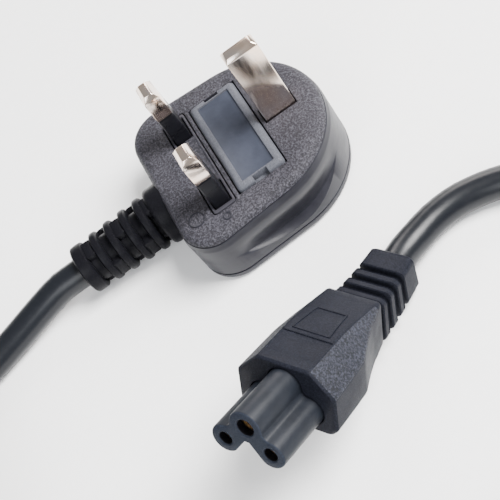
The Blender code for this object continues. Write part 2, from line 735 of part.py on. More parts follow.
def tail_section(distance, width, height):
    """A section of the tail with round corners."""
    middle, upward = tail_frame(distance)
    points = []
    for x, z in rounded_rectangle(width / 2, height / 2, min(TAIL_CORNER, 0.45 * height), 2):
        points.append(middle + Vector((x, 0, 0)) + upward * z)
    return points


def connector_tail():
    """The connector's strain relief: ribs and grooves on a bent core, and a block at its end."""
    inside = -2.0 * MM
    ribs_length = TAIL_LENGTH - TAIL_END_BLOCK
    pitch = ribs_length / TAIL_RIBS
    stations = [(inside, 1)]
    for k in range(TAIL_RIBS):
        start = k * pitch
        groove = pitch * (1 - TAIL_RIB_SHARE)
        stations += [(start, 1), (start, 0), (start + groove, 0), (start + groove, 1)]
        if k == TAIL_RIBS - 1:
            stations += [(start + pitch, 1), (start + pitch, 0)]
    gap = pitch * (1 - TAIL_RIB_SHARE)
    stations += [(ribs_length + gap, 0), (ribs_length + gap, 1), (TAIL_LENGTH, 1)]
    rings = []
    for distance, raised in stations:
        share = max(0.0, distance) / TAIL_LENGTH
        width = TAIL_FIRST_WIDTH + (TAIL_LAST_WIDTH - TAIL_FIRST_WIDTH) * share
        height = TAIL_FIRST_HEIGHT + (TAIL_LAST_HEIGHT - TAIL_FIRST_HEIGHT) * share
        cut = 0.0 if raised else 2 * TAIL_GROOVE
        rings.append(tail_section(distance, width - cut, height - cut))
    return loft(rings)


def make_connector_body(frame):
    """The connector's soft moulding with its tail and the recess that holds the nose."""
    soft = material("black fine grained moulding", (0.022, 0.022, 0.026), 0.5)
    edge = 0.4 * MM
    waist = 1.0 * MM  # how much narrower the body is where its taper starts
    taper = BODY_LENGTH - BODY_TAPER_END
    rear_wide = REAR_WIDTH + 3.2 * MM
    rings = [
        body_section(0.0, BODY_WIDTH - 2 * edge, BODY_TOP - edge, BODY_BOTTOM - edge),
        body_section(-edge, BODY_WIDTH, BODY_TOP, BODY_BOTTOM),
        body_section(-BODY_WAIST, BODY_WIDTH - waist, BODY_TOP, BODY_BOTTOM),
        body_section(-taper, rear_wide, (BODY_TOP + REAR_TOP) / 2, REAR_BOTTOM),
        body_section(edge - BODY_LENGTH, REAR_WIDTH, REAR_TOP, REAR_BOTTOM),
        body_section(-BODY_LENGTH, REAR_WIDTH - 2 * edge, REAR_TOP - edge, REAR_BOTTOM - edge),
    ]
    body = add("connector_body", loft(rings), soft, frame, 25.0)
    combine(body, add("tail form", connector_tail(), None, frame), "UNION")
    recess = loft([[(x, y, z) for x, z in trefoil(CLEARANCE)] for y in (-NOSE_ROOT - CLEARANCE, 2 * MM)])
    combine(body, add("nose recess", recess, None, frame), "DIFFERENCE")
    return body


def smooth_route(points, spacing):
    """Points at an even spacing on a smooth curve through the route's points."""
    whole = [2 * points[0] - points[1]] + points + [2 * points[-1] - points[-2]]
    fine = []
    steps = 24
    for before, start, end, after in zip(whole, whole[1:], whole[2:], whole[3:]):
        for k in range(steps):
            t = k / steps
            bend = (2 * before - 5 * start + 4 * end - after) * t**2
            turn = (3 * start - before - 3 * end + after) * t**3
            fine.append(start + ((end - before) * t + bend + turn) / 2)
    fine.append(points[-1].copy())
    lengths = [0.0]
    for start, end in zip(fine, fine[1:]):
        lengths.append(lengths[-1] + (end - start).length)
    count = max(2, round(lengths[-1] / spacing))
    even = []
    k = 0
    for m in range(count + 1):
        target = lengths[-1] * m / count
        while k < len(fine) - 2 and lengths[k + 1] < target:
            k += 1
        share = (target - lengths[k]) / (lengths[k + 1] - lengths[k])
        even.append(fine[k].lerp(fine[k + 1], min(1.0, max(0.0, share))))
    return even


def from_coil(point):
    """How far a point on the floor is from the line through the middles of the hank's folds."""
    offset = point.to_2d() - COIL_PLACE.to_2d()
    return Vector((max(abs(offset.x) - COIL_HALF_RUN, 0.0), offset.y)).length


def up_to_coil(points, slant):
    """The part of a route that stays clear of the hank, ending at its outside."""
    stop = COIL_OUTSIDE + CORD_RADIUS * slant + CLEARANCE
    kept = [points[0]]
    for start, end in zip(points, points[1:]):
        near, far = (from_coil(end), from_coil(start))
        if near < stop:
            kept.append(start.lerp(end, (far - stop) / (far - near)))
            break
        kept.append(end)
    return kept


def laid_route(start, heading, route, slant):
    """A tube's points from a strain relief's end, first straight on and then along the route by hand."""
    lead = start + heading * STRAIGHT_LEAD
    points = [lead] + [Vector(point) * MM for point in route]
    return [start] + up_to_coil(smooth_route(points, TUBE_POINT_SPACING), slant)


def make_tube(name, points):
    """A stretch of the cord as a round tube with closed ends."""
    curve = bpy.data.curves.new(name, "CURVE")
    curve.dimensions = "3D"
    curve.bevel_depth = CORD_RADIUS
    curve.bevel_resolution = TUBE_RESOLUTION
    curve.use_fill_caps = True
    line = curve.splines.new("POLY")
    line.points.add(len(points) - 1)
    for spot, point in zip(line.points, points):
        spot.co = (*point, 1.0)
    curve.materials.append(material("black cord", (0.02, 0.021, 0.024), 0.4))
    piece = bpy.data.objects.new(name, curve)
    bpy.context.scene.collection.objects.link(piece)
    return piece


def cord_exit(frame, end, direction):
    """Where the cord's tube starts, a clearance past a strain relief's end, in the scene's frame."""
    place = frame.matrix_basis @ end
    heading = frame.matrix_basis.to_3x3() @ direction
    return place + heading.normalized() * CLEARANCE, heading.normalized()


def make_cord(plug_frame, connector_frame):
    """The cord's two laid out stretches."""
    plug_end = Vector((0, -relief_end(), -RELIEF_DROP))
    start, heading = cord_exit(plug_frame, plug_end, Vector((0, -1, 0)))
    make_tube("cord_plug_side", laid_route(start, heading, PLUG_SIDE_ROUTE, PLUG_TUBE_SLANT))
    middle, upward = tail_frame(TAIL_LENGTH)
    backward = Vector((0, -upward.z, upward.y))
    start, heading = cord_exit(connector_frame, middle, backward)
    make_tube("cord_connector_side", laid_route(start, heading, CONNECTOR_SIDE_ROUTE, CONNECTOR_TUBE_SLANT))


def tie_box(inset, half_width):
    """Corners of a box around the coil's section at the tie, drawn in by inset."""
    return (
        (COIL_INSIDE + inset, -half_width, inset),
        (COIL_OUTSIDE - inset, half_width, COIL_HEIGHT - inset),
    )


def make_coil():
    """The folded length as one oval ring, with a waist for the tie around it."""
    frame = empty("coil_frame", COIL_PLACE, (0, 0, TIE_ANGLE))
    corner = COIL_CORNER
    profile = [
        (0.0, COIL_INSIDE + corner),
        (0.0, COIL_OUTSIDE - corner),
        (corner, COIL_OUTSIDE),
        (COIL_HEIGHT - corner, COIL_OUTSIDE),
        (COIL_HEIGHT, COIL_OUTSIDE - corner),
        (COIL_HEIGHT, COIL_INSIDE + corner),
        (COIL_HEIGHT - corner, COIL_INSIDE),
        (corner, COIL_INSIDE),
    ]
    black = material("black cord", (0.02, 0.021, 0.024), 0.4)
    oval = tube(profile, COIL_STEPS, (0, 0, 1))
    half_step = Matrix.Rotation(math.pi / COIL_STEPS, 3, "Z")
    bmesh.ops.rotate(oval, cent=(0, 0, 0), matrix=half_step, verts=oval.verts)
    for vertex in oval.verts:
        vertex.co.y += math.copysign(COIL_HALF_RUN, vertex.co.y)
    ring = add("cord_coil", oval, black, frame)
    waist = add("tie waist", block(*tie_box(-4 * MM, TIE_WIDTH / 2 + CLEARANCE)), None, frame)
    core = add("tie core", block(*tie_box(TIE_THICKNESS + CLEARANCE, TIE_WIDTH)), None, frame)
    combine(waist, core, "DIFFERENCE")
    combine(ring, waist, "DIFFERENCE")
    grey = material("grey tie", (0.05, 0.05, 0.05), 0.6)
    tie = add("coil_tie", block(*tie_box(0.0, TIE_WIDTH / 2)), grey, frame)
    combine(tie, add("tie opening", block(*tie_box(TIE_THICKNESS, TIE_WIDTH)), None, frame), "DIFFERENCE")


def main():
    """Build the whole lead."""
    clear_objects()
    plug_frame = empty("plug_frame", (0, 0, FACE_HEIGHT), (BACK_SLOPE, 0, 0))
    make_plug_body(plug_frame)
    make_insert(plug_frame)
    make_pins(plug_frame)
    make_fuse_carrier(plug_frame)
    make_fuse(plug_frame)
    connector_frame = empty("connector_frame", CONNECTOR_PLACE, (CONNECTOR_PITCH, 0, CONNECTOR_HEADING))
    make_connector_body(connector_frame)
    make_nose(connector_frame)
    make_coil()
    make_cord(plug_frame, connector_frame)
    bpy.context.view_layer.update()


main()
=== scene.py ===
"""Dresses the mains lead: a moulded fused plug, its cord, and a cloverleaf connector.

Each operator models one piece over the loaded frame and gives it its finish. The plug's pieces are modelled
in the plug's own frame, with its face at z = 0 and the earth pin towards +y. The connector's pieces are
modelled with the front of its body at y = 0, its nose along +y and its flat top up. Sizes are written in
millimetres, and prism, slab, box and lathe turn them into metres.
"""

import math

import bmesh
import bpy
from bpy.props import FloatProperty, FloatVectorProperty, IntProperty, PointerProperty
from bpy.types import Operator, Panel, PropertyGroup
from mathutils import Matrix, Vector


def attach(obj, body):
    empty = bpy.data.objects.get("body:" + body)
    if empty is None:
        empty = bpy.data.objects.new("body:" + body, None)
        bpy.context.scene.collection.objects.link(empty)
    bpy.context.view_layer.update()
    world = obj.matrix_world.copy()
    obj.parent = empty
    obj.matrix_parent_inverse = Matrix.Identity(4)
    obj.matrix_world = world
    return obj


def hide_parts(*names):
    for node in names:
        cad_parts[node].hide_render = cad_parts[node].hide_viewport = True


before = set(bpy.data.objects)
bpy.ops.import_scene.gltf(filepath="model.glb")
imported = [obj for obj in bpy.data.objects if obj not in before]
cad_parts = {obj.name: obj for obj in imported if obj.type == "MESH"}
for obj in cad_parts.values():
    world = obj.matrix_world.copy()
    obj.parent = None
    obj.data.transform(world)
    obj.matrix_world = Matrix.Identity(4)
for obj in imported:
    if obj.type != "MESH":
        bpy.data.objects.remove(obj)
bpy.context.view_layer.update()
MM = 0.001

bl_info = {
    "name": "Mains lead dresser",
    "version": (1, 0, 0),
    "blender": (4, 5, 0),
    "location": "3D Viewport > Sidebar > Lead",
    "description": "Models the plug, the connector and the cord of a mains lead over its frame",
    "category": "Object",
}

# Places of the two moulded ends, as in the frame.
FACE_LEVEL = 16.9
BACK_SLOPE = math.radians(3)
PLUG_PLACE = Matrix.Translation((0, 0, FACE_LEVEL * MM)) @ Matrix.Rotation(BACK_SLOPE, 4, "X")
CONNECTOR_PLACE = (
    Matrix.Translation(Vector((69.3, -9.1, 23.4)) * MM)
    @ Matrix.Rotation(math.radians(-144), 4, "Z")
    @ Matrix.Rotation(math.radians(28), 4, "X")
)

# Sizes that several of the plug's pieces share.
LIVE_PIN_X = 11.115
EARTH_PIN_Y = 22.23
CARRIER_Y = 10.6
LIVE_PINS = (("line_pin", -LIVE_PIN_X), ("neutral_pin", LIVE_PIN_X))

# The plug's strain relief: its middle's height, its rings, its end, and where its skin starts.
CORD_LEVEL = -8
RING_COUNT = 5
RING_PITCH = 4.3
FIRST_RING = 17.9
RELIEF_END = 37.4
RELIEF_SKIN_Y = -12.4

# Plain rings where the plug's face has moulded marks: (x, y, outer radius).
FACE_MARKS = ((13.8, -6.9, 2.1), (17.9, -0.5, 1.1))

# The sockets behind the nose's holes: (node, x, z, radius of the hole).
CONTACTS = (
    ("contact_line", -5.0, 0.0, 1.45),
    ("contact_neutral", 5.0, 0.0, 1.45),
    ("contact_earth", 0.0, 4.56, 1.85),
)

# The connector's bent tail, from the end of its body.
TAIL_LENGTH = 18.0
TAIL_BEND = math.radians(16)
RIB_COUNT = 4
RIB_PITCH = 3.5

# The cord's way along the floor.
PLUG_SIDE_ROUTE = [
    (0.0, -44.0, 6.4),
    (1.4, -51.0, 5.3),
    (4.0, -60.0, 4.2),
    (6.8, -69.0, 3.75),
    (8.6, -77.5, 3.7),
    (8.9, -87.0, 3.7),
    (8.2, -96.0, 3.7),
    (7.1, -105.0, 3.7),
]
CONNECTOR_SIDE_ROUTE = [
    (41.2, 31.4, 4.1),
    (39.3, 37.6, 3.8),
    (39.0, 45.0, 3.7),
    (41.6, 54.6, 3.7),
    (47.6, 63.8, 3.7),
    (57.0, 70.6, 3.7),
    (69.0, 73.4, 3.7),
    (81.4, 71.6, 3.7),
    (92.6, 64.4, 3.7),
    (100.4, 53.0, 3.7),
    (104.8, 38.0, 3.7),
    (106.8, 20.0, 3.7),
    (107.2, 0.0, 3.7),
    (107.2, -22.0, 3.7),
    (107.2, -42.0, 3.7),
    (107.2, -58.0, 4.1),
    (107.2, -73.0, 5.6),
    (107.2, -87.0, 8.2),
    (107.2, -100.0, 10.6),
]

# The hank of spare cord: a pair of columns, three turns high, with its angles in degrees.
COIL_CENTRE = Vector((57.0, -112.5))
COIL_HALF_RUN = 20.0
COIL_START = 180.0
COIL_END = 2160.0
COIL_STEP = 15.0
INNER, OUTER = 22.75, 30.25
FOLD = (INNER + OUTER) / 2
TIE_ANGLE = 270.0
TIE_LIFT = 1.05
TIE_REACH = 20.0

# Each turn's place in the bundle, as (radius, height), and the angles between which it moves on.
COIL_SLOTS = ((OUTER, 3.7), (INNER, 3.7), (INNER, 11.1), (INNER, 18.5), (OUTER, 18.5), (OUTER, 11.1))
COIL_MOVES = ((93, 180), (58, 166), (52, 158), (25, 131), (0, 88))


def colour_choice(name, description, default):
    """A colour that a user may change."""
    return FloatVectorProperty(name=name, description=description, subtype="COLOR", default=default, size=3)


def length_choice(name, description, default):
    """A length in metres that a user may change."""
    return FloatProperty(name=name, description=description, default=default, unit="LENGTH")


class PlugLook(PropertyGroup):
    """Sizes and colours of the plug that a user may change."""

    dome_steps: IntProperty(name="Dome steps", description="Edges around the round end", default=72, min=24)
    scoop_depth: length_choice("Finger scoop depth", "Depth of the hollow in each side", 2.4 * MM)
    edge_radius: length_choice("Moulded edge radius", "Rounding of the cut edges", 0.16 * MM)
    face_colour: colour_choice("Face colour", "Grained moulding", (0.028, 0.027, 0.033))
    side_colour: colour_choice("Side colour", "Smooth moulding", (0.017, 0.017, 0.022))
    carrier_colour: colour_choice("Fuse carrier colour", "Rim of the carrier", (0.075, 0.078, 0.092))
    panel_colour: colour_choice("Carrier panel colour", "Recessed panel", (0.03, 0.034, 0.048))
    metal_colour: colour_choice("Pin colour", "Bright nickel", (0.78, 0.7, 0.64))


class ConnectorLook(PropertyGroup):
    """Sizes and colours of the connector that a user may change."""

    lobe_steps: IntProperty(name="Lobe steps", description="Edges around the nose", default=144, min=48)
    body_colour: colour_choice("Body colour", "Fine grained moulding", (0.0075, 0.0082, 0.012))
    nose_colour: colour_choice("Nose colour", "Blue grey moulding", (0.02, 0.024, 0.034))


class CordLook(PropertyGroup):
    """Sizes and colours of the cord that a user may change."""

    diameter: length_choice("Cord diameter", "Outside of the sheath", 7.4 * MM)
    sheath_colour: colour_choice("Sheath colour", "Smooth black sheath", (0.0055, 0.0065, 0.009))


def deselect():
    """Object mode with nothing selected."""
    if bpy.context.mode != "OBJECT":
        bpy.ops.object.mode_set(mode="OBJECT")
    bpy.ops.object.select_all(action="DESELECT")


def pick(piece):
    """Make one piece the selected and active one."""
    deselect()
    piece.select_set(True)
    bpy.context.view_layer.objects.active = piece


def spot_key(place):
    """A place as a key that an extruded copy of it shares."""
    return tuple(round(number, 7) for number in place)


def prism(name, sections, closed=False, unit=MM):
    """A solid drawn from section to section: a circle takes the first section's shape and is extruded on.

    The sections are in millimetres, unless another unit is given. A closed solid is a hoop, whose last
    section meets its first.
    """
    sections = [[[number * unit for number in place] for place in section] for section in sections]
    deselect()
    fill = "NOTHING" if closed else "NGON"
    bpy.ops.mesh.primitive_circle_add(vertices=len(sections[0]), radius=1.0, fill_type=fill)
    piece = bpy.context.object
    piece.name = name
    piece.data.name = name
    bpy.ops.object.mode_set(mode="EDIT")
    mesh = bmesh.from_edit_mesh(piece.data)
    mesh.verts.ensure_lookup_table()
    order = {}
    for k, place in enumerate(sections[0]):
        mesh.verts[k].co = place
        order[spot_key(mesh.verts[k].co)] = k
    bmesh.update_edit_mesh(piece.data)
    following = sections[1:] + (sections[:1] if closed else [])
    for section in following:
        bpy.ops.mesh.extrude_region_move()
        mesh = bmesh.from_edit_mesh(piece.data)
        fresh = {}
        for vertex in mesh.verts:
            if vertex.select:
                k = order[spot_key(vertex.co)]
                vertex.co = section[k]
                fresh[spot_key(vertex.co)] = k
        order = fresh
        bmesh.update_edit_mesh(piece.data)
    bpy.ops.mesh.select_all(action="SELECT")
    if closed:
        bpy.ops.mesh.remove_doubles(threshold=1e-7)
    bpy.ops.mesh.normals_make_consistent(inside=False)
    bpy.ops.object.mode_set(mode="OBJECT")
    return piece


def slab(name, outline, levels):
    """A solid with one outline, in millimetres, from level to level."""
    return prism(name, [[(x, y, z) for x, y in outline] for z in levels])


def box(name, low, high):
    """A cube primitive stretched between two corners, in millimetres."""
    deselect()
    low, high = (Vector([number * MM for number in corner]) for corner in (low, high))
    middle = (low + high) / 2
    size = high - low
    bpy.ops.mesh.primitive_cube_add(size=1.0, location=middle, scale=size)
    piece = bpy.context.object
    piece.name = name
    bpy.ops.object.transform_apply()
    return piece


def lathe(name, profile, axis, centre, sides=48, closed=False):
    """A round solid from (distance along the axis, radius) pairs, in millimetres."""
    middle = Vector([number * MM for number in centre])
    along = Vector(axis).normalized()
    side = along.orthogonal().normalized()
    up = along.cross(side)
    sections = []
    for distance, radius in profile:
        ring = []
        for k in range(sides):
            angle = 2 * math.pi * k / sides
            out = side * math.cos(angle) + up * math.sin(angle)
            ring.append(middle + along * (distance * MM) + out * (radius * MM))
        sections.append(ring)
    return prism(name, sections, closed, unit=1.0)


def rounded_rectangle(half_x, half_y, corner, steps):
    """The outline of a rectangle with round corners."""
    points = []
    for quarter, (sx, sy) in enumerate(((1, 1), (-1, 1), (-1, -1), (1, -1))):
        for k in range(steps + 1):
            angle = math.pi / 2 * (quarter + k / steps)
            x = sx * (half_x - corner) + corner * math.cos(angle)
            y = sy * (half_y - corner) + corner * math.sin(angle)
            points.append((x, y))
    return points


def join(name, pieces):
    """Several meshes as one piece."""
    pick(pieces[0])
    for piece in pieces:
        piece.select_set(True)
    bpy.ops.object.join()
    bpy.context.object.name = name
    return bpy.context.object


def combine(piece, tool, operation):
    """Unite a piece with a tool or cut the tool out of it, and take the tool away."""
    pick(piece)
    step = piece.modifiers.new("shape", "BOOLEAN")
    step.operation = operation
    step.solver = "EXACT"
    step.object = tool
    bpy.ops.object.modifier_apply(modifier=step.name)
    bpy.data.objects.remove(tool, do_unlink=True)


def round_edges(piece, width, test=lambda middle: True, segments=2):
    """Bevel the sharp edges whose middle, in millimetres, passes a test. The width is in millimetres too."""
    sharp = math.radians(40)
    pick(piece)
    bpy.ops.object.mode_set(mode="EDIT")
    bpy.ops.mesh.select_all(action="DESELECT")
    bpy.ops.mesh.select_mode(type="EDGE")
    mesh = bmesh.from_edit_mesh(piece.data)
    for edge in mesh.edges:
        if len(edge.link_faces) == 2:
            middle = (edge.verts[0].co + edge.verts[1].co) / 2 / MM
            if edge.calc_face_angle(0.0) > sharp and test(middle):
                edge.select_set(True)
    bmesh.update_edit_mesh(piece.data)
    bpy.ops.mesh.bevel(offset=width * MM, segments=segments, profile=0.5, affect="EDGES")
    bpy.ops.mesh.select_mode(type="VERT")
    bpy.ops.object.mode_set(mode="OBJECT")


def paint(piece, finish, test):
    """Give another finish to the faces whose middle, in millimetres, and normal pass a test."""
    piece.data.materials.append(finish)
    index = len(piece.data.materials) - 1
    for face in piece.data.polygons:
        if test(face.center / MM, face.normal):
            face.material_index = index


def fit(piece, place, angle, body, node):
    """Put a piece in its place and shade it, hang it on its body, and hide the node that it stands for."""
    pick(piece)
    piece.matrix_world = place
    bpy.ops.object.transform_apply(location=True, rotation=True, scale=True)
    bpy.ops.object.shade_smooth_by_angle(angle=math.radians(angle))
    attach(piece, body)
    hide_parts(node)


class Nodes:
    """A short way to add and link shader nodes of one material."""

    def __init__(self, name, colour, roughness, metallic=0.0):
        self.material = bpy.data.materials.new(name)
        self.material.use_nodes = True
        self.tree = self.material.node_tree
        self.shader = self.tree.nodes["Principled BSDF"]
        self.shader.inputs["Base Color"].default_value = (*colour, 1.0)
        self.shader.inputs["Roughness"].default_value = roughness
        self.shader.inputs["Metallic"].default_value = metallic
        self.shader.inputs["Specular IOR Level"].default_value = 0.5 if metallic else 0.22
        coordinate = self.tree.nodes.new("ShaderNodeTexCoord")
        self.place = coordinate.outputs["Object"]

    def put(self, value, socket):
        """Link an output to a socket, or set a plain value on it."""
        if hasattr(value, "is_output"):
            self.tree.links.new(value, socket)
        else:
            socket.default_value = value

    def set(self, name, value):
        """Give the shader's socket of that name a value or a link."""
        self.put(value, self.shader.inputs[name])

    def add(self, kind, **inputs):
        """A new node with its inputs given by name."""
        node = self.tree.nodes.new(kind)
        for name, value in inputs.items():
            self.put(value, node.inputs[name])
        return node

    def noise(self, scale, detail, roughness, stretch=(1, 1, 1)):
        """Noise over the piece's own place, stretched along its axes."""
        place = self.add("ShaderNodeMapping", Vector=self.place, Scale=stretch).outputs[0]
        node = self.add("ShaderNodeTexNoise", Vector=place, Scale=scale, Detail=detail, Roughness=roughness)
        return node.outputs["Fac"]

    def ramp(self, value, *stops):
        """A value turned into greys or colours through stops of (value, grey or colour)."""
        node = self.add("ShaderNodeValToRGB", Fac=value)
        for element, (place, colour) in zip(node.color_ramp.elements, stops):
            element.position = place
            shade = colour if isinstance(colour, tuple) else (colour, colour, colour)
            element.color = (*shade, 1.0)
        return node.outputs["Color"]

    def tone(self, value, low, high, first, second):
        """Base colour that goes from the first to the second as a value goes from low to high."""
        node = self.add("ShaderNodeMix")
        node.data_type = "RGBA"
        factor, colour_a, colour_b = (node.inputs[place] for place in (0, 6, 7))
        self.put(self.ramp(value, (low, 0.0), (high, 1.0)), factor)
        self.put((*first, 1.0), colour_a)
        self.put((*second, 1.0), colour_b)
        self.set("Base Color", node.outputs[2])

    def bump(self, height, strength, distance, onward=None):
        """A bumped normal, over another one where it is given."""
        node = self.add("ShaderNodeBump", Height=height, Strength=strength, Distance=distance)
        if onward:
            self.put(onward, node.inputs["Normal"])
        return node.outputs["Normal"]


def scaled(colour, factor):
    """A colour made lighter or darker."""
    return tuple(min(1.0, part * factor) for part in colour)


def spark_grain(name, colour, light=2.6):
    """Coarse spark eroded moulding: a pebbled skin with painted glints, its peaks painted lighter and its
    hollows darker.
    """
    make = Nodes(name, colour, 0.45)
    coarse = make.noise(2300.0, 4.0, 0.7)
    fine = make.noise(5200.0, 2.0, 0.5)
    broad = make.noise(60.0, 2.0, 0.5)
    # Painted highlight and shade: the colour follows the bump's height, lighter on the peaks as glints and
    # darker in the hollows.
    make.tone(coarse, 0.44, 0.66, scaled(colour, 0.62), scaled(colour, light))
    make.set("Roughness", make.ramp(broad, (0.3, 0.42), (0.7, 0.58)))
    skin = make.bump(fine, 0.35, 0.06 * MM)
    make.set("Normal", make.bump(coarse, 1.0, 0.2 * MM, skin))
    make.set("Specular IOR Level", 0.15)
    return make.material


def smooth_moulding(name, colour, roughness=0.36, grain=0.25):
    """Polished flexible moulding with a faint orange peel and handling marks."""
    make = Nodes(name, colour, roughness)
    peel = make.noise(900.0, 3.0, 0.55)
    marks = make.noise(140.0, 5.0, 0.65, (1, 1, 3))
    make.tone(marks, 0.35, 0.75, scaled(colour, 0.85), scaled(colour, 1.3))
    make.set("Roughness", make.ramp(marks, (0.3, roughness - 0.06), (0.8, roughness + 0.12)))
    make.set("Normal", make.bump(peel, grain, 0.05 * MM))
    make.set("Specular IOR Level", 0.16)
    return make.material


def fine_grain(name, colour, roughness, strength, light):
    """Fine matte moulding with a velvety grain."""
    make = Nodes(name, colour, roughness)
    grain = make.noise(3400.0, 3.0, 0.6)
    broad = make.noise(180.0, 3.0, 0.5)
    make.tone(grain, 0.4, 0.75, scaled(colour, 0.8), scaled(colour, light))
    make.set("Roughness", make.ramp(broad, (0.3, roughness - 0.05), (0.7, roughness + 0.08)))
    make.set("Normal", make.bump(grain, strength, 0.07 * MM))
    make.set("Specular IOR Level", 0.05)
    return make.material


def plated(name, colour, roughness=0.16):
    """Bright nickel plate with draw lines along the pin and patches of painted warm reflection."""
    make = Nodes(name, colour, roughness, 1.0)
    lines = make.noise(900.0, 3.0, 0.5, (1, 1, 0.06))
    warm_reflection = make.noise(150.0, 3.0, 0.5)
    # Painted reflection: noise patches tint the plate towards a warm pink gold, as warm reflections off it.
    make.set("Base Color", make.ramp(warm_reflection, (0.35, tuple(colour)), (0.65, (0.86, 0.68, 0.55))))
    make.set("Roughness", make.ramp(lines, (0.3, roughness - 0.03), (0.75, roughness + 0.06)))
    make.set("Normal", make.bump(lines, 0.03, 0.01 * MM))
    return make.material


def sheath(name, colour):
    """Smooth extruded sheath: satin black, with a faint waviness along it."""
    make = Nodes(name, colour, 0.3)
    wave = make.noise(110.0, 2.0, 0.5)
    scuff = make.noise(700.0, 4.0, 0.7)
    make.tone(scuff, 0.55, 0.85, colour, scaled(colour, 1.3))
    make.set("Roughness", make.ramp(scuff, (0.35, 0.3), (0.8, 0.38)))
    make.set("Normal", make.bump(wave, 0.08, 0.2 * MM))
    make.set("Specular IOR Level", 0.28)
    return make.material


def woven(name, colour):
    """Woven strap: small cells over a coarse weave."""
    make = Nodes(name, colour, 0.8)
    weave = make.add("ShaderNodeTexVoronoi", Vector=make.place, Scale=2200.0).outputs["Distance"]
    make.tone(weave, 0.1, 0.6, scaled(colour, 1.6), scaled(colour, 0.5))
    make.set("Normal", make.bump(weave, 0.6, 0.2 * MM))
    make.set("Sheen Weight", 0.2)
    return make.material


def unglazed(name, colour):
    """Unglazed ceramic."""
    make = Nodes(name, colour, 0.45)
    specks = make.noise(1500.0, 4.0, 0.6)
    make.tone(specks, 0.3, 0.7, scaled(colour, 0.9), colour)
    make.set("Normal", make.bump(specks, 0.2, 0.05 * MM))
    return make.material


def pale_floor(name):
    """Plain pale paper."""
    make = Nodes(name, (0.9, 0.9, 0.9), 0.75)
    fibre = make.noise(400.0, 3.0, 0.5)
    make.tone(fibre, 0.3, 0.7, (0.98, 0.98, 0.98), (1.0, 1.0, 1.0))
    return make.material


def back_of_plug(y):
    """Height of the plug's flat back in the plug's frame, in metres."""
    return -(FACE_LEVEL * MM + y * math.sin(BACK_SLOPE)) / math.cos(BACK_SLOPE)


def plug_outline(inset, steps):
    """The plug's bell-shaped outline, drawn in by inset, in metres."""
    corner_side, corner_height, corner = 14.1 * MM, -3.7 * MM, 8.5 * MM
    dome_centre, dome = 11.2 * MM, 21.3 * MM
    draft = math.atan2(1.3, 14.9)
    corner_steps = steps // 5
    side_steps = steps // 8
    arcs = [
        (corner_side, corner_height, corner, -math.pi / 2, draft, corner_steps),
        (0.0, dome_centre, dome, draft, math.pi - draft, steps),
        (-corner_side, corner_height, corner, math.pi - draft, 1.5 * math.pi, corner_steps),
    ]
    points = []
    for x, y, radius, start, end, count in arcs:
        reach = radius - inset
        arc = []
        for k in range(count + 1):
            angle = start + (end - start) * k / count
            arc.append(Vector((x + reach * math.cos(angle), y + reach * math.sin(angle))))
        if points:
            before = points[-1]
            points += [before.lerp(arc[0], m / side_steps) for m in range(1, side_steps)]
        points += arc
    base_left, base_right = points[-1], points[0]
    points += [base_left.lerp(base_right, m / side_steps) for m in range(1, side_steps)]
    return points


def scoop_shape(share):
    """How deep a scoop is from its top, at 0, to its ledge, at 1. It closes just below the ledge."""
    if share > 1:
        return 0.25 if share < 1.05 else 0.0
    return math.sin(min(1.0, share / 0.93) * math.pi / 2) ** 2.6 * (1.0 if share < 0.97 else 0.93)


def plug_sections(steps, scoop):
    """The plug's sections from its face to its back, with a finger scoop in each side, in metres."""
    edge = [
        (2.9, 0.0), (2.2, 0.05), (1.6, 0.18), (1.1, 0.42), (0.75, 0.75), (0.52, 1.15), (0.45, 1.42),
        (0.72, 1.52), (0.72, 1.66), (0.32, 1.78), (0.2, 2.4), (0.08, 3.0),
    ]
    rim = [
        (0.0, 3.0), (0.02, 2.75), (0.4, 2.6), (0.4, 2.42), (-0.02, 2.3),
        (0.0, 1.4), (0.12, 0.9), (0.45, 0.4), (1.0, 0.1), (1.9, 0.0),
    ]
    scoop_top, scoop_middle, scoop_reach = -3.3 * MM, 11.5 * MM, 15.5 * MM
    sections = [[(p.x, p.y, -depth * MM) for p in plug_outline(inset * MM, steps)] for inset, depth in edge]
    outer = plug_outline(0.0, steps)
    inner = plug_outline(MM, steps)
    for share in [k / 18 for k in range(19)] + [1.035, 1.075]:
        ring = []
        for p, q in zip(outer, inner):
            along = max(-1.0, min(1.0, (p.y - scoop_middle) / scoop_reach))
            ledge = (-12.9 + 4.6 * along**2) * MM
            swell = max(0.0, 1 - along**2) ** 1.15 * min(1.0, abs(p.x) / (9 * MM))
            pull = swell * scoop_shape(share) * scoop / MM
            height = scoop_top + (ledge - scoop_top) * share
            ring.append((p.x + (q.x - p.x) * pull, p.y + (q.y - p.y) * pull, height))
        sections.append(ring)
    for inset, rise in rim:
        sections.append([(p.x, p.y, back_of_plug(p.y) + rise * MM) for p in plug_outline(inset * MM, steps)])
    return sections


def ring_radius(k):
    """Radius of one ring of the strain relief: each is a little smaller than the one before."""
    return 7.0 - 0.7 * k / (RING_COUNT - 1)


def relief_profile():
    """The plug's strain relief from inside the plug to its end, as (distance, radius)."""
    core = 4.7
    profile = [(7.5, 7.4), (14.6, 7.4), (15.2, 7.25), (15.55, 6.9), (15.6, 6.4), (15.6, core)]
    for k in range(RING_COUNT):
        is_last = k == RING_COUNT - 1
        radius = ring_radius(k)
        start = FIRST_RING + RING_PITCH * k - 1.1
        width = 3.4 if is_last else 2.2
        end = start + width
        profile += [(start, core), (start, radius - 0.8), (start + 0.15, radius - 0.4)]
        profile += [(start + 0.45, radius - 0.1), (start + width / 2, radius), (end - 0.45, radius - 0.1)]
        profile += [(end - 0.15, radius - 0.4), (end, radius - 0.8), (end, 3.9 if is_last else core)]
    profile.append((RELIEF_END - 1.4, 3.8))
    return profile


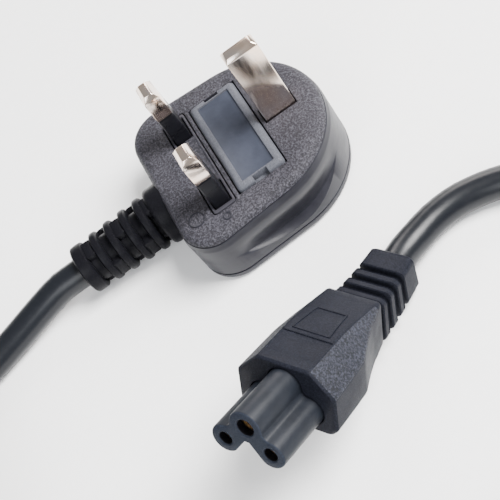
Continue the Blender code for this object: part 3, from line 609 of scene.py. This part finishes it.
def relief_webs():
    """The webs between the strain relief's rings, a quarter turned from gap to gap."""
    webs = []
    half = 2.5
    for k in range(RING_COUNT):
        start = FIRST_RING + RING_PITCH * (k - 1) + 0.8 if k else 15.3
        end = FIRST_RING + RING_PITCH * k - 0.8
        for side in (-1, 1):
            low, high = sorted((side * 3.8, side * (ring_radius(k) - 0.45)))
            if k % 2:
                corners = ((low, -end, CORD_LEVEL - half), (high, -start, CORD_LEVEL + half))
            else:
                corners = ((-half, -end, CORD_LEVEL + low), (half, -start, CORD_LEVEL + high))
            webs.append(box("web", *corners))
    return webs


class PlugBody(Operator):
    """Model the plug's moulding with its scoops, pocket, recesses and strain relief."""

    bl_idname = "lead.plug_body"
    bl_label = "Plug Body"

    def execute(self, context):
        look = context.scene.plug_look
        body = prism("plug_moulding", plug_sections(look.dome_steps, look.scoop_depth), unit=1.0)
        relief = lathe("relief", relief_profile(), (0, -1, 0), (0, 0, CORD_LEVEL), 64)
        for web in relief_webs():
            round_edges(web, 0.5)
            combine(relief, web, "UNION")
        combine(body, relief, "UNION")
        combine(body, box("pocket", (-14.9, 4.15, -10.6), (14.9, 17.05, 2)), "DIFFERENCE")
        combine(body, slab("recess", rounded_rectangle(15.9, 3.2, 1.1, 6), (-9.3, 2.0)), "DIFFERENCE")
        combine(body, box("slot", (-2.3, 17.93, -9.3), (2.3, 26.53, 2)), "DIFFERENCE")
        round_edges(body, look.edge_radius / MM, lambda middle: abs(middle.z) < 0.01 and middle.y > -11)
        for x, y, outer in FACE_MARKS:
            wall = [(-0.3, outer - 0.4), (0.16, outer - 0.36), (0.22, outer - 0.2), (0.16, outer - 0.04)]
            wall.append((-0.3, outer))
            combine(body, lathe("mark", wall, (0, 0, 1), (x, y, 0), 40, True), "UNION")
        body.data.materials.append(smooth_moulding("smooth side moulding", look.side_colour))
        grained = spark_grain("spark grained face", look.face_colour)
        paint(body, grained, lambda middle, normal: middle.y > RELIEF_SKIN_Y and -1.5 < middle.z < 0.03)
        ribbed = fine_grain("strain relief moulding", scaled(look.side_colour, 0.3), 0.36, 0.3, 1.5)
        paint(body, ribbed, lambda middle, normal: middle.y < RELIEF_SKIN_Y)
        fit(body, PLUG_PLACE, 32.0, "lead", "plug_body")
        return {"FINISHED"}


class PinInsert(Operator):
    """Model the hard insert with a smooth raised pad around each live pin."""

    bl_idname = "lead.pin_insert"
    bl_label = "Pin Insert"

    def execute(self, context):
        look = context.scene.plug_look
        insert = slab("pin_insert", rounded_rectangle(15.6, 2.9, 0.8, 6), (-9.0, 0.0))
        combine(insert, box("dip", (-6.4, -2.4, -0.25), (6.4, 2.4, 1)), "DIFFERENCE")
        for _, x in LIVE_PINS:
            combine(insert, box("seat", (x - 3.475, -2.3, -1.8), (x + 3.475, 2.3, 2)), "DIFFERENCE")
            combine(insert, box("hole", (x - 2.575, -1.4, -12), (x + 2.575, 1.4, 0)), "DIFFERENCE")
        round_edges(insert, 0.14, lambda middle: middle.z > -0.3)
        insert.data.materials.append(smooth_moulding("smooth insert", scaled(look.face_colour, 1.1), 0.32))
        grained = bpy.data.materials["spark grained face"]
        paint(insert, grained, lambda middle, normal: abs(middle.x) < 6.3 and normal.z > 0.9)
        fit(insert, PLUG_PLACE, 32.0, "lead", "pin_carrier")
        return {"FINISHED"}


def rectangle(x, y, half_x, half_y, z):
    """Four corners at one height."""
    low_x, high_x = x - half_x, x + half_x
    low_y, high_y = y - half_y, y + half_y
    return [(low_x, low_y, z), (high_x, low_y, z), (high_x, high_y, z), (low_x, high_y, z)]


class Pins(Operator):
    """Model the three pins, with chamfered tips, and the sleeves on the live pins."""

    bl_idname = "lead.pins"
    bl_label = "Pins"

    def execute(self, context):
        look = context.scene.plug_look
        metal = plated("bright nickel plate", look.metal_colour)
        rubber = smooth_moulding("black pin sleeve", (0.006, 0.006, 0.008), 0.3, 0.1)
        levels = [(0, -9.0), (0, 21.73), (0.9, 22.73)]
        sections = [rectangle(0, EARTH_PIN_Y, 2 - inset, 4 - inset, z) for inset, z in levels]
        earth = prism("earth_pin_metal", sections)
        round_edges(earth, 0.22, lambda middle: middle.z > -8, 3)
        earth.data.materials.append(metal)
        fit(earth, PLUG_PLACE, 50.0, "lead", "earth_pin")
        for name, x in LIVE_PINS:
            levels = [(0.9, -9.0), (0.9, 9.7), (0, 9.7), (0, 16.0), (1.1, 17.7)]
            sections = [rectangle(x, 0, 3.175 - inset, 2 - inset, z) for inset, z in levels]
            pin = prism(f"{name}_metal", sections)
            round_edges(pin, 0.2, lambda middle: middle.z > 9.6, 3)
            pin.data.materials.append(metal)
            fit(pin, PLUG_PLACE, 50.0, "lead", name)
            levels = [(0.0, -1.5), (0.0, 9.1), (0.12, 9.35), (0.3, 9.4), (0.6, 9.4), (0.6, -1.5)]
            rings = []
            for inset, z in levels:
                outline = rounded_rectangle(3.175 - inset, 2 - inset, max(0.12, 0.4 - inset / 2), 3)
                rings.append([(x + across, y, z) for across, y in outline])
            sleeve = prism(f"{name}_sleeve_cover", rings, closed=True)
            sleeve.data.materials.append(rubber)
            fit(sleeve, PLUG_PLACE, 40.0, "lead", f"{name}_sleeve")
        return {"FINISHED"}


class FuseCarrier(Operator):
    """Model the fuse carrier with its bevelled rim, recessed panel, notches, legs and cheeks."""

    bl_idname = "lead.fuse_carrier"
    bl_label = "Fuse Carrier"

    def execute(self, context):
        look = context.scene.plug_look
        levels = [(0, -2.2), (0, 0.1), (0.12, 0.35), (0.36, 0.6), (0.62, 0.78), (0.9, 0.88), (1.15, 0.9)]
        sections = []
        for inset, z in levels:
            outline = rounded_rectangle(14.6 - inset, 6.15 - inset, max(0.2, 1.0 - inset / 2), 4)
            sections.append([(x, CARRIER_Y + y, z) for x, y in outline])
        carrier = prism("fuse_carrier_drawer", sections)
        for side in (-1, 1):
            low, high = sorted((side * 13.0, side * 14.2))
            leg = box("leg", (low, CARRIER_Y - 2.2, -9.77), (high, CARRIER_Y + 2.2, -2.0))
            round_edges(leg, 0.3)
            combine(carrier, leg, "UNION")
            low, high = sorted((side * 3.475, side * 4.475))
            cheek = box("cheek", (-6.7, CARRIER_Y + low, -6.6), (6.7, CARRIER_Y + high, -2.0))
            round_edges(cheek, 0.25)
            combine(carrier, cheek, "UNION")
        outline = [(x, CARRIER_Y + y) for x, y in rounded_rectangle(12.9, 4.3, 0.3, 3)]
        combine(carrier, slab("panel", outline, (0.4, 2.0)), "DIFFERENCE")
        for side in (-1, 1):
            low, high = sorted((side * 13.25, side * 16.0))
            notch = box("notch", (low, CARRIER_Y - 1.9, -1.1), (high, CARRIER_Y + 1.9, 2))
            combine(carrier, notch, "DIFFERENCE")
        round_edges(carrier, 0.12, lambda middle: middle.z > 0.3)
        carrier.data.materials.append(fine_grain("grey carrier rim", look.carrier_colour, 0.38, 0.25, 1.35))

        def is_panel(middle, normal):
            inside = abs(middle.x) < 12.88 and abs(middle.y - CARRIER_Y) < 4.28
            return inside and normal.z > 0.9 and 0.3 < middle.z < 0.5

        paint(carrier, smooth_moulding("carrier panel", look.panel_colour, 0.4), is_panel)
        fit(carrier, PLUG_PLACE, 35.0, "fuse_drawer", "fuse_carrier")
        return {"FINISHED"}


class Fuse(Operator):
    """Model the cartridge fuse: a ceramic barrel and two plated caps."""

    bl_idname = "lead.fuse"
    bl_label = "Fuse"

    def execute(self, context):
        look = context.scene.plug_look
        centre = (0, CARRIER_Y, -6.6)
        tube = [
            (-12.0, 2.5), (-7.3, 2.5), (-7.3, 2.75), (-7.2, 2.825),
            (7.2, 2.825), (7.3, 2.75), (7.3, 2.5), (12.0, 2.5),
        ]
        barrel = lathe("fuse_ceramic", tube, (1, 0, 0), centre)
        barrel.data.materials.append(unglazed("white ceramic tube", (0.75, 0.73, 0.68)))
        fit(barrel, PLUG_PLACE, 35.0, "fuse_drawer", "fuse_barrel")
        metal = plated("fuse cap plate", look.metal_colour, 0.22)
        cup = [
            (12.7, 1.0), (12.7, 2.7), (12.6, 2.95), (12.4, 3.12), (12.1, 3.175), (8.0, 3.175), (7.6, 3.1),
            (7.4, 3.17), (7.1, 3.15), (7.0, 3.05), (7.0, 2.83), (12.35, 2.83), (12.35, 1.0),
        ]
        for name, turn in (("fuse_cap_left", -1), ("fuse_cap_right", 1)):
            cap = lathe(f"{name}_cup", cup, (turn, 0, 0), centre)
            cap.data.materials.append(metal)
            fit(cap, PLUG_PLACE, 35.0, "fuse_drawer", name)
        return {"FINISHED"}


def lobe_distance(x, z):
    """Distance from the cloverleaf outline, with eased inner corners."""
    ease = 0.18
    earth = Vector((0.0, 4.56))
    point = Vector((x, z))
    parts = [(point - earth).length - 3.6]
    for side in (-5.0, 5.0):
        lobe = Vector((side, 0.0))
        parts.append((point - lobe).length - 3.1)
        along = lobe - earth
        share = min(1.0, max(0.0, (point - earth).dot(along) / along.length_squared))
        parts.append((point - earth - along * share).length - 2.0)
    return -ease * math.log(sum(math.exp(-part / ease) for part in parts))


def trefoil(offset, steps):
    """The nose's outline grown by offset, as (x, z) points around its middle."""
    middle = 1.96
    points = []
    for k in range(steps):
        angle = 2 * math.pi * k / steps
        inside, outside = 0.0, 20.0
        for _ in range(24):
            reach = (inside + outside) / 2
            if lobe_distance(reach * math.cos(angle), middle + reach * math.sin(angle)) < offset:
                inside = reach
            else:
                outside = reach
        points.append((inside * math.cos(angle), middle + inside * math.sin(angle)))
    return points


class Nose(Operator):
    """Model the cloverleaf nose with its three stepped holes, and the sprung sockets in them."""

    bl_idname = "lead.nose"
    bl_label = "Nose"

    def execute(self, context):
        look = context.scene.connector_look
        front = 13.2
        levels = [(-8.0, 0.0), (13.1, 0.0), (13.3, -0.06), (13.43, -0.18), (13.5, -0.36)]
        sections = [[(x, y, z) for x, z in trefoil(grow, look.lobe_steps)] for y, grow in levels]
        nose = prism("cloverleaf_nose", sections)
        for _, x, z, entry in CONTACTS:
            cavity = entry + 0.65
            profile = [(-0.9, cavity), (11.7, cavity), (11.7, entry), (13.25, entry)]
            profile += [(13.52, entry + 0.27), (15, entry + 0.3)]
            combine(nose, lathe("hole", profile, (0, 1, 0), (x, 0, z), 40), "DIFFERENCE")

        def is_hole_wall(middle, normal):
            near = any(math.hypot(middle.x - x, middle.z - z) < entry + 0.7 for _, x, z, entry in CONTACTS)
            return near and middle.y < front and abs(normal.y) < 0.99

        sides = smooth_moulding("nose side moulding", scaled(look.nose_colour, 0.4), 0.42, 0.4)
        nose.data.materials.append(sides)
        facing = fine_grain("nose front moulding", look.nose_colour, 0.45, 0.3, 1.3)
        paint(nose, facing, lambda middle, normal: middle.y > front)
        # Painted shade: the walls of the holes are painted near black, as the shade deep inside them.
        paint(nose, smooth_moulding("hole wall painted shade", (0.004, 0.004, 0.006), 0.5), is_hole_wall)
        fit(nose, CONNECTOR_PLACE, 30.0, "lead", "contact_carrier")
        brass = plated("sprung contact metal", (0.62, 0.5, 0.3), 0.3)
        for name, x, z, entry in CONTACTS:
            outer, inner = entry + 0.35, entry - 0.12
            wall = [(-0.6, outer), (11.4, outer), (11.4, entry), (11.0, inner), (-0.6, inner)]
            socket = lathe(f"{name}_socket", wall, (0, 1, 0), (x, 0, z), 32, True)
            socket.data.materials.append(brass)
            fit(socket, CONNECTOR_PLACE, 35.0, "lead", name)
        return {"FINISHED"}


def eased_corners(points, radius, steps=3):
    """The outline with each corner cut back and rounded, as 2-D points."""
    result = []
    for k, point in enumerate(points):
        here = Vector(point)
        before = Vector(points[k - 1]) - here
        after = Vector(points[(k + 1) % len(points)]) - here
        reach = min(radius, before.length * 0.45, after.length * 0.45)
        start = here + before.normalized() * reach
        end = here + after.normalized() * reach
        for m in range(steps + 1):
            t = m / steps
            result.append(start * (1 - t) ** 2 + here * 2 * t * (1 - t) + end * t**2)
    return result


def body_section(width, top, bottom):
    """The connector's upright section as 2-D points: a flat top, broad chamfers and a narrow base."""
    half = width / 2
    flat = min(5.8, half - 0.5)
    drop = (half - flat) * 0.97
    points = [
        (half - 1.6, -bottom), (half, 1.6 - bottom), (half, top - drop), (flat, top),
        (-flat, top), (-half, top - drop), (-half, 1.6 - bottom), (1.6 - half, -bottom),
    ]
    return eased_corners(points, 0.55)


def tail_frame(distance):
    """Middle and upward direction of the bent tail."""
    radius = TAIL_LENGTH / TAIL_BEND
    angle = distance / radius
    middle = Vector((0, -27 - radius * math.sin(angle), 0.9 + radius * (1 - math.cos(angle))))
    return middle, Vector((0, math.sin(angle), math.cos(angle)))


def tail_sections():
    """Sections of the ribbed tail, with rounded ribs."""
    rib = [
        (0.0, 1.0), (0.12, 0.3), (0.25, 0.0), (1.25, 0.0), (1.4, 0.4),
        (1.6, 0.85), (1.85, 1.0), (3.05, 1.0), (3.3, 0.85),
    ]
    stations = [(-2.0, 1.0)]
    for k in range(RIB_COUNT):
        stations += [(k * RIB_PITCH + distance, raised) for distance, raised in rib]
    stations[-2:] = [(13.2, 1.0), (13.8, 1.0), (14.0, 1.0), (17.3, 1.0), (17.75, 0.8), (TAIL_LENGTH, 0.45)]
    sections = []
    for distance, raised in stations:
        share = max(0.0, distance) / TAIL_LENGTH
        cut = 3.0 * (1 - raised)
        width = 12.0 - 1.8 * share - cut
        height = 10.4 - 1.2 * share - cut
        middle, upward = tail_frame(distance)
        outline = rounded_rectangle(width / 2, height / 2, 1.5 if raised > 0.5 else 1.2, 5)
        sections.append([middle + Vector((x, 0, 0)) + upward * z for x, z in outline])
    return sections


def raised_outline():
    """Four low bars round the connector's second panel, laid along the top of the moulding."""
    tops = [(-10.6, 9.5), (-12.0, 9.5), (-12.8, 9.47), (-13.8, 9.4), (-17.0, 9.1), (-18.6, 8.87)]
    ridge = [(-0.24, -0.4), (0.24, -0.4), (0.13, 0.2), (-0.13, 0.2)]
    bars = []
    for side in (-1, 1):
        sections = []
        for y, top in tops:
            x = side * (4.1 - 0.1 * (-10.6 - y))
            sections.append([(x + across, y, top + lift) for across, lift in ridge])
        bars.append(prism("side_bar", sections))
    for y, top, reach in ((-10.6, 9.5, 4.2), (-18.6, 8.87, 3.4)):
        sections = [[(x, y + along, top + lift) for along, lift in ridge] for x in (-reach, reach)]
        bars.append(prism("cross_bar", sections))
    return bars


class ConnectorBody(Operator):
    """Model the connector's moulding with its broad chamfers, top panels and ribbed tail."""

    bl_idname = "lead.connector_body"
    bl_label = "Connector Body"

    def execute(self, context):
        look = context.scene.connector_look
        levels = [
            (0.0, 20.8, 9.0, 4.3), (-0.18, 21.5, 9.28, 4.55), (-0.55, 22.0, 9.5, 4.8),
            (-6.0, 21.6, 9.5, 4.8), (-12.0, 21.0, 9.5, 4.8), (-12.8, 20.7, 9.47, 4.79),
            (-13.8, 19.9, 9.4, 4.75), (-17.0, 17.6, 9.1, 4.6), (-20.4, 15.5, 8.6, 4.45),
            (-21.4, 15.0, 8.45, 4.4), (-22.4, 14.7, 8.3, 4.4), (-25.0, 13.4, 7.9, 4.4),
            (-26.4, 12.7, 7.65, 4.4), (-26.8, 12.4, 7.5, 4.3), (-27.0, 11.8, 7.2, 4.0),
        ]
        sections = [[(p.x, y, p.y) for p in body_section(*size)] for y, *size in levels]
        body = prism("connector_moulding", sections)
        combine(body, prism("tail", tail_sections()), "UNION")
        recess = prism("nose_seat", [[(x, y, z) for x, z in trefoil(0.3, 96)] for y in (-8.3, 2.0)])
        combine(body, recess, "DIFFERENCE")
        combine(body, box("dip", (-5.6, -9.4, 9.2), (5.6, -2.9, 12)), "DIFFERENCE")
        for bar in raised_outline():
            combine(body, bar, "UNION")

        def is_dip(middle):
            return middle.z > 9.1 and -9.6 < middle.y < -2.7 and abs(middle.x) < 5.8

        def is_chamfer(middle, normal):
            slanted = 0.35 < normal.z < 0.9 and abs(normal.x) > 0.3
            return slanted and -24 < middle.y < -1.0

        round_edges(body, 0.12, is_dip)
        body.data.materials.append(fine_grain("black fine moulding", look.body_colour, 0.48, 0.45, 2.0))
        # The chamfers take the coarse grain with stronger painted glints on its peaks.
        paint(body, spark_grain("rough chamfer moulding", scaled(look.body_colour, 1.05), 4.2), is_chamfer)
        fit(body, CONNECTOR_PLACE, 28.0, "lead", "connector_body")
        return {"FINISHED"}


def smooth_route(points, spacing):
    """Evenly spaced points on a smooth curve through the route's points."""
    whole = [2 * points[0] - points[1]] + points + [2 * points[-1] - points[-2]]
    cuts = 16
    fine = []
    for before, start, end, after in zip(whole, whole[1:], whole[2:], whole[3:]):
        for k in range(cuts):
            t = k / cuts
            bend = (2 * before - 5 * start + 4 * end - after) * t**2
            turn = (3 * start - before - 3 * end + after) * t**3
            fine.append(start + ((end - before) * t + bend + turn) / 2)
    fine.append(points[-1].copy())
    lengths = [0.0]
    for start, end in zip(fine, fine[1:]):
        lengths.append(lengths[-1] + (end - start).length)
    count = round(lengths[-1] / spacing)
    even = []
    k = 0
    for m in range(count + 1):
        target = lengths[-1] * m / count
        while k < len(fine) - 2 and lengths[k + 1] < target:
            k += 1
        share = (target - lengths[k]) / (lengths[k + 1] - lengths[k])
        even.append(fine[k].lerp(fine[k + 1], min(1.0, max(0.0, share))))
    return even, lengths[-1]


def hank_line(angle):
    """Place along the hank's long axis at an angle round it, and which way is outwards there."""
    fold = math.pi * FOLD / 2
    run = (angle % 360.0) / 360.0 * 4 * (fold + COIL_HALF_RUN)
    if run < fold:
        return COIL_HALF_RUN, run / FOLD
    run -= fold
    if run < 2 * COIL_HALF_RUN:
        return COIL_HALF_RUN - run, math.pi / 2
    run -= 2 * COIL_HALF_RUN
    if run < 2 * fold:
        return -COIL_HALF_RUN, math.pi / 2 + run / FOLD
    run -= 2 * fold
    if run < 2 * COIL_HALF_RUN:
        return run - COIL_HALF_RUN, 1.5 * math.pi
    return COIL_HALF_RUN, 1.5 * math.pi + (run - 2 * COIL_HALF_RUN) / FOLD


def coil_points():
    """The hank's route. Each turn stays in its place in the bundle, then eases into the next."""
    points = []
    angle = COIL_START
    while angle < COIL_END + 1:
        turn = min(int((angle - COIL_START) // 360), len(COIL_MOVES))
        radius, height = COIL_SLOTS[turn]
        past = angle - 360 * (turn + 1)
        if past > 0 and turn < len(COIL_MOVES):
            start, end = COIL_MOVES[turn]
            share = min(1.0, max(0.0, (past - start) / (end - start)))
            ease = share * share * (3 - 2 * share)
            radius += (COIL_SLOTS[turn + 1][0] - radius) * ease
            height += (COIL_SLOTS[turn + 1][1] - height) * ease
        away = (angle - TIE_ANGLE + 180.0) % 360.0 - 180.0
        height += TIE_LIFT * math.exp(-((away / TIE_REACH) ** 2))
        middle, out = hank_line(angle)
        x, y = COIL_CENTRE + Vector((middle, 0)) + radius * Vector((math.cos(out), math.sin(out)))
        points.append((x, y, height))
        angle += COIL_STEP
    return points


class Cord(Operator):
    """Lay the cord as one curve from the plug, through the hank, to the connector, and tie the hank."""

    bl_idname = "lead.cord"
    bl_label = "Cord"

    def execute(self, context):
        look = context.scene.cord_look
        start = PLUG_PLACE @ Vector((0, -(RELIEF_END - 1.2) * MM, CORD_LEVEL * MM))
        lead = PLUG_PLACE @ Vector((0, -(RELIEF_END + 3.0) * MM, CORD_LEVEL * MM))
        middle, upward = tail_frame(TAIL_LENGTH)
        backward = Vector((0, -upward.z, upward.y))
        finish = CONNECTOR_PLACE @ ((middle - backward) * MM)
        finish_lead = CONNECTOR_PLACE @ ((middle + backward * 3.3) * MM)
        laid = PLUG_SIDE_ROUTE + coil_points() + list(reversed(CONNECTOR_SIDE_ROUTE))
        route = [start, lead] + [Vector(place) * MM for place in laid] + [finish_lead, finish]
        points, length = smooth_route(route, 2.5 * MM)
        curve = bpy.data.curves.new("mains_cord", "CURVE")
        curve.dimensions = "3D"
        curve.bevel_depth = look.diameter / 2
        curve.bevel_resolution = 6
        curve.use_fill_caps = True
        line = curve.splines.new("POLY")
        line.points.add(len(points) - 1)
        for spot, place in zip(line.points, points):
            spot.co = (*place, 1.0)
        line.use_smooth = True
        cord = bpy.data.objects.new("mains_cord", curve)
        context.scene.collection.objects.link(cord)
        curve.materials.append(sheath("black sheath", look.sheath_colour))
        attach(cord, "lead")
        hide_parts("cord_plug_side", "cord_coil", "cord_connector_side")
        tie = self.strap()
        return {"FINISHED"}

    def strap(self):
        """A woven strap once around the hank's bundle, with its end lapped over."""
        half_width, half_height, thick, half_breadth = 7.55, 11.2, 1.0, 2.5
        base = [Vector(place) for place in rounded_rectangle(half_width, half_height, 3.6, 8)]
        corners = ((0.0, -half_breadth), (thick, -half_breadth), (thick, half_breadth), (0.0, half_breadth))
        sections = []
        for offset, along in corners:
            ring = []
            for k, point in enumerate(base):
                tangent = base[(k + 1) % len(base)] - base[k - 1]
                place = point + Vector((tangent.y, -tangent.x)).normalized() * offset
                ring.append((FOLD + place.x, along, half_height + thick + place.y))
            sections.append(ring)
        band = prism("coil_strap", sections, closed=True)
        top = 2 * (half_height + thick)
        tab = box("tab", (FOLD - 4, -half_breadth, top - 0.3), (FOLD + 4, half_breadth, top + 0.7))
        round_edges(tab, 0.35)
        strap = join("coil_strap", [band, tab])
        strap.data.materials.append(woven("grey woven strap", (0.035, 0.036, 0.04)))
        centre = Matrix.Translation((COIL_CENTRE.x * MM, COIL_CENTRE.y * MM, 0))
        place = centre @ Matrix.Rotation(math.radians(TIE_ANGLE), 4, "Z")
        fit(strap, place, 40.0, "lead", "coil_tie")
        return strap


def camera_matrix():
    """The photograph's viewpoint."""
    right = Vector((0.4155, 0.8363, -0.3577))
    down = Vector((0.6826, -0.5466, -0.4850))
    forward = Vector((-0.6011, -0.0427, -0.7980))
    turn = Matrix((right, -down, -forward)).transposed().to_4x4()
    return Matrix.Translation(Vector((183.81, 10.72, 222.17)) * MM) @ turn


class Stage(Operator):
    """Set up the pale floor, the soft lights and the camera."""

    bl_idname = "lead.stage"
    bl_label = "Stage"

    def execute(self, context):
        deselect()
        bpy.ops.mesh.primitive_plane_add(size=6.0)
        floor = context.object
        floor.name = "floor"
        floor.data.materials.append(pale_floor("pale paper"))
        target = Vector((0.03, 0.0, 0.01))
        lamps = (
            ("key", (0.15, 0.55, 0.75), 0.5, 36.0, (1.0, 0.99, 0.98)),
            ("fill", (0.6, -0.45, 0.5), 0.6, 8.0, (0.95, 0.97, 1.0)),
            ("rim", (-0.65, 0.3, 0.35), 0.4, 5.0, (1.0, 0.95, 0.92)),
        )
        for name, place, size, power, colour in lamps:
            bpy.ops.object.light_add(type="AREA", location=place)
            lamp = context.object
            lamp.name = name
            lamp.data.size = size
            lamp.data.energy = power
            lamp.data.color = colour
            lamp.rotation_euler = (target - Vector(place)).to_track_quat("-Z", "Y").to_euler()
        world = context.scene.world or bpy.data.worlds.new("studio")
        context.scene.world = world
        world.use_nodes = True
        sky = world.node_tree.nodes["Background"]
        sky.inputs["Color"].default_value = (1.0, 1.0, 1.0, 1.0)
        sky.inputs["Strength"].default_value = 0.42
        bpy.ops.object.camera_add()
        camera = context.object
        camera.name = "photo_view"
        camera.matrix_world = camera_matrix()
        camera.data.sensor_width = 36.0
        camera.data.lens = 86.4
        camera.data.clip_start = 0.01
        context.scene.camera = camera
        return {"FINISHED"}


STEPS = (PlugBody, PinInsert, Pins, FuseCarrier, Fuse, Nose, ConnectorBody, Cord, Stage)


class LeadPanel(Panel):
    """Lists the lead's looks and its operators."""

    bl_idname = "VIEW3D_PT_lead"
    bl_label = "Mains Lead"
    bl_space_type = "VIEW_3D"
    bl_region_type = "UI"
    bl_category = "Lead"

    def draw(self, context):
        layout = self.layout
        for group in (context.scene.plug_look, context.scene.connector_look, context.scene.cord_look):
            for name in group.__annotations__:
                layout.prop(group, name)
        for step in STEPS:
            layout.operator(step.bl_idname)


CLASSES = (PlugLook, ConnectorLook, CordLook, *STEPS, LeadPanel)


def register():
    """Register the classes and the scene's looks."""
    for kind in CLASSES:
        bpy.utils.register_class(kind)
    bpy.types.Scene.plug_look = PointerProperty(type=PlugLook)
    bpy.types.Scene.connector_look = PointerProperty(type=ConnectorLook)
    bpy.types.Scene.cord_look = PointerProperty(type=CordLook)


def unregister():
    """Take the classes and the looks away again."""
    del bpy.types.Scene.plug_look
    del bpy.types.Scene.connector_look
    del bpy.types.Scene.cord_look
    for kind in reversed(CLASSES):
        bpy.utils.unregister_class(kind)


def main():
    """Run every operator in order."""
    register()
    bpy.ops.lead.stage()
    bpy.ops.lead.cord()
    bpy.ops.lead.plug_body()
    bpy.ops.lead.pin_insert()
    bpy.ops.lead.pins()
    bpy.ops.lead.fuse_carrier()
    bpy.ops.lead.fuse()
    bpy.ops.lead.nose()
    bpy.ops.lead.connector_body()
    deselect()


if __name__ == "__main__":
    main()
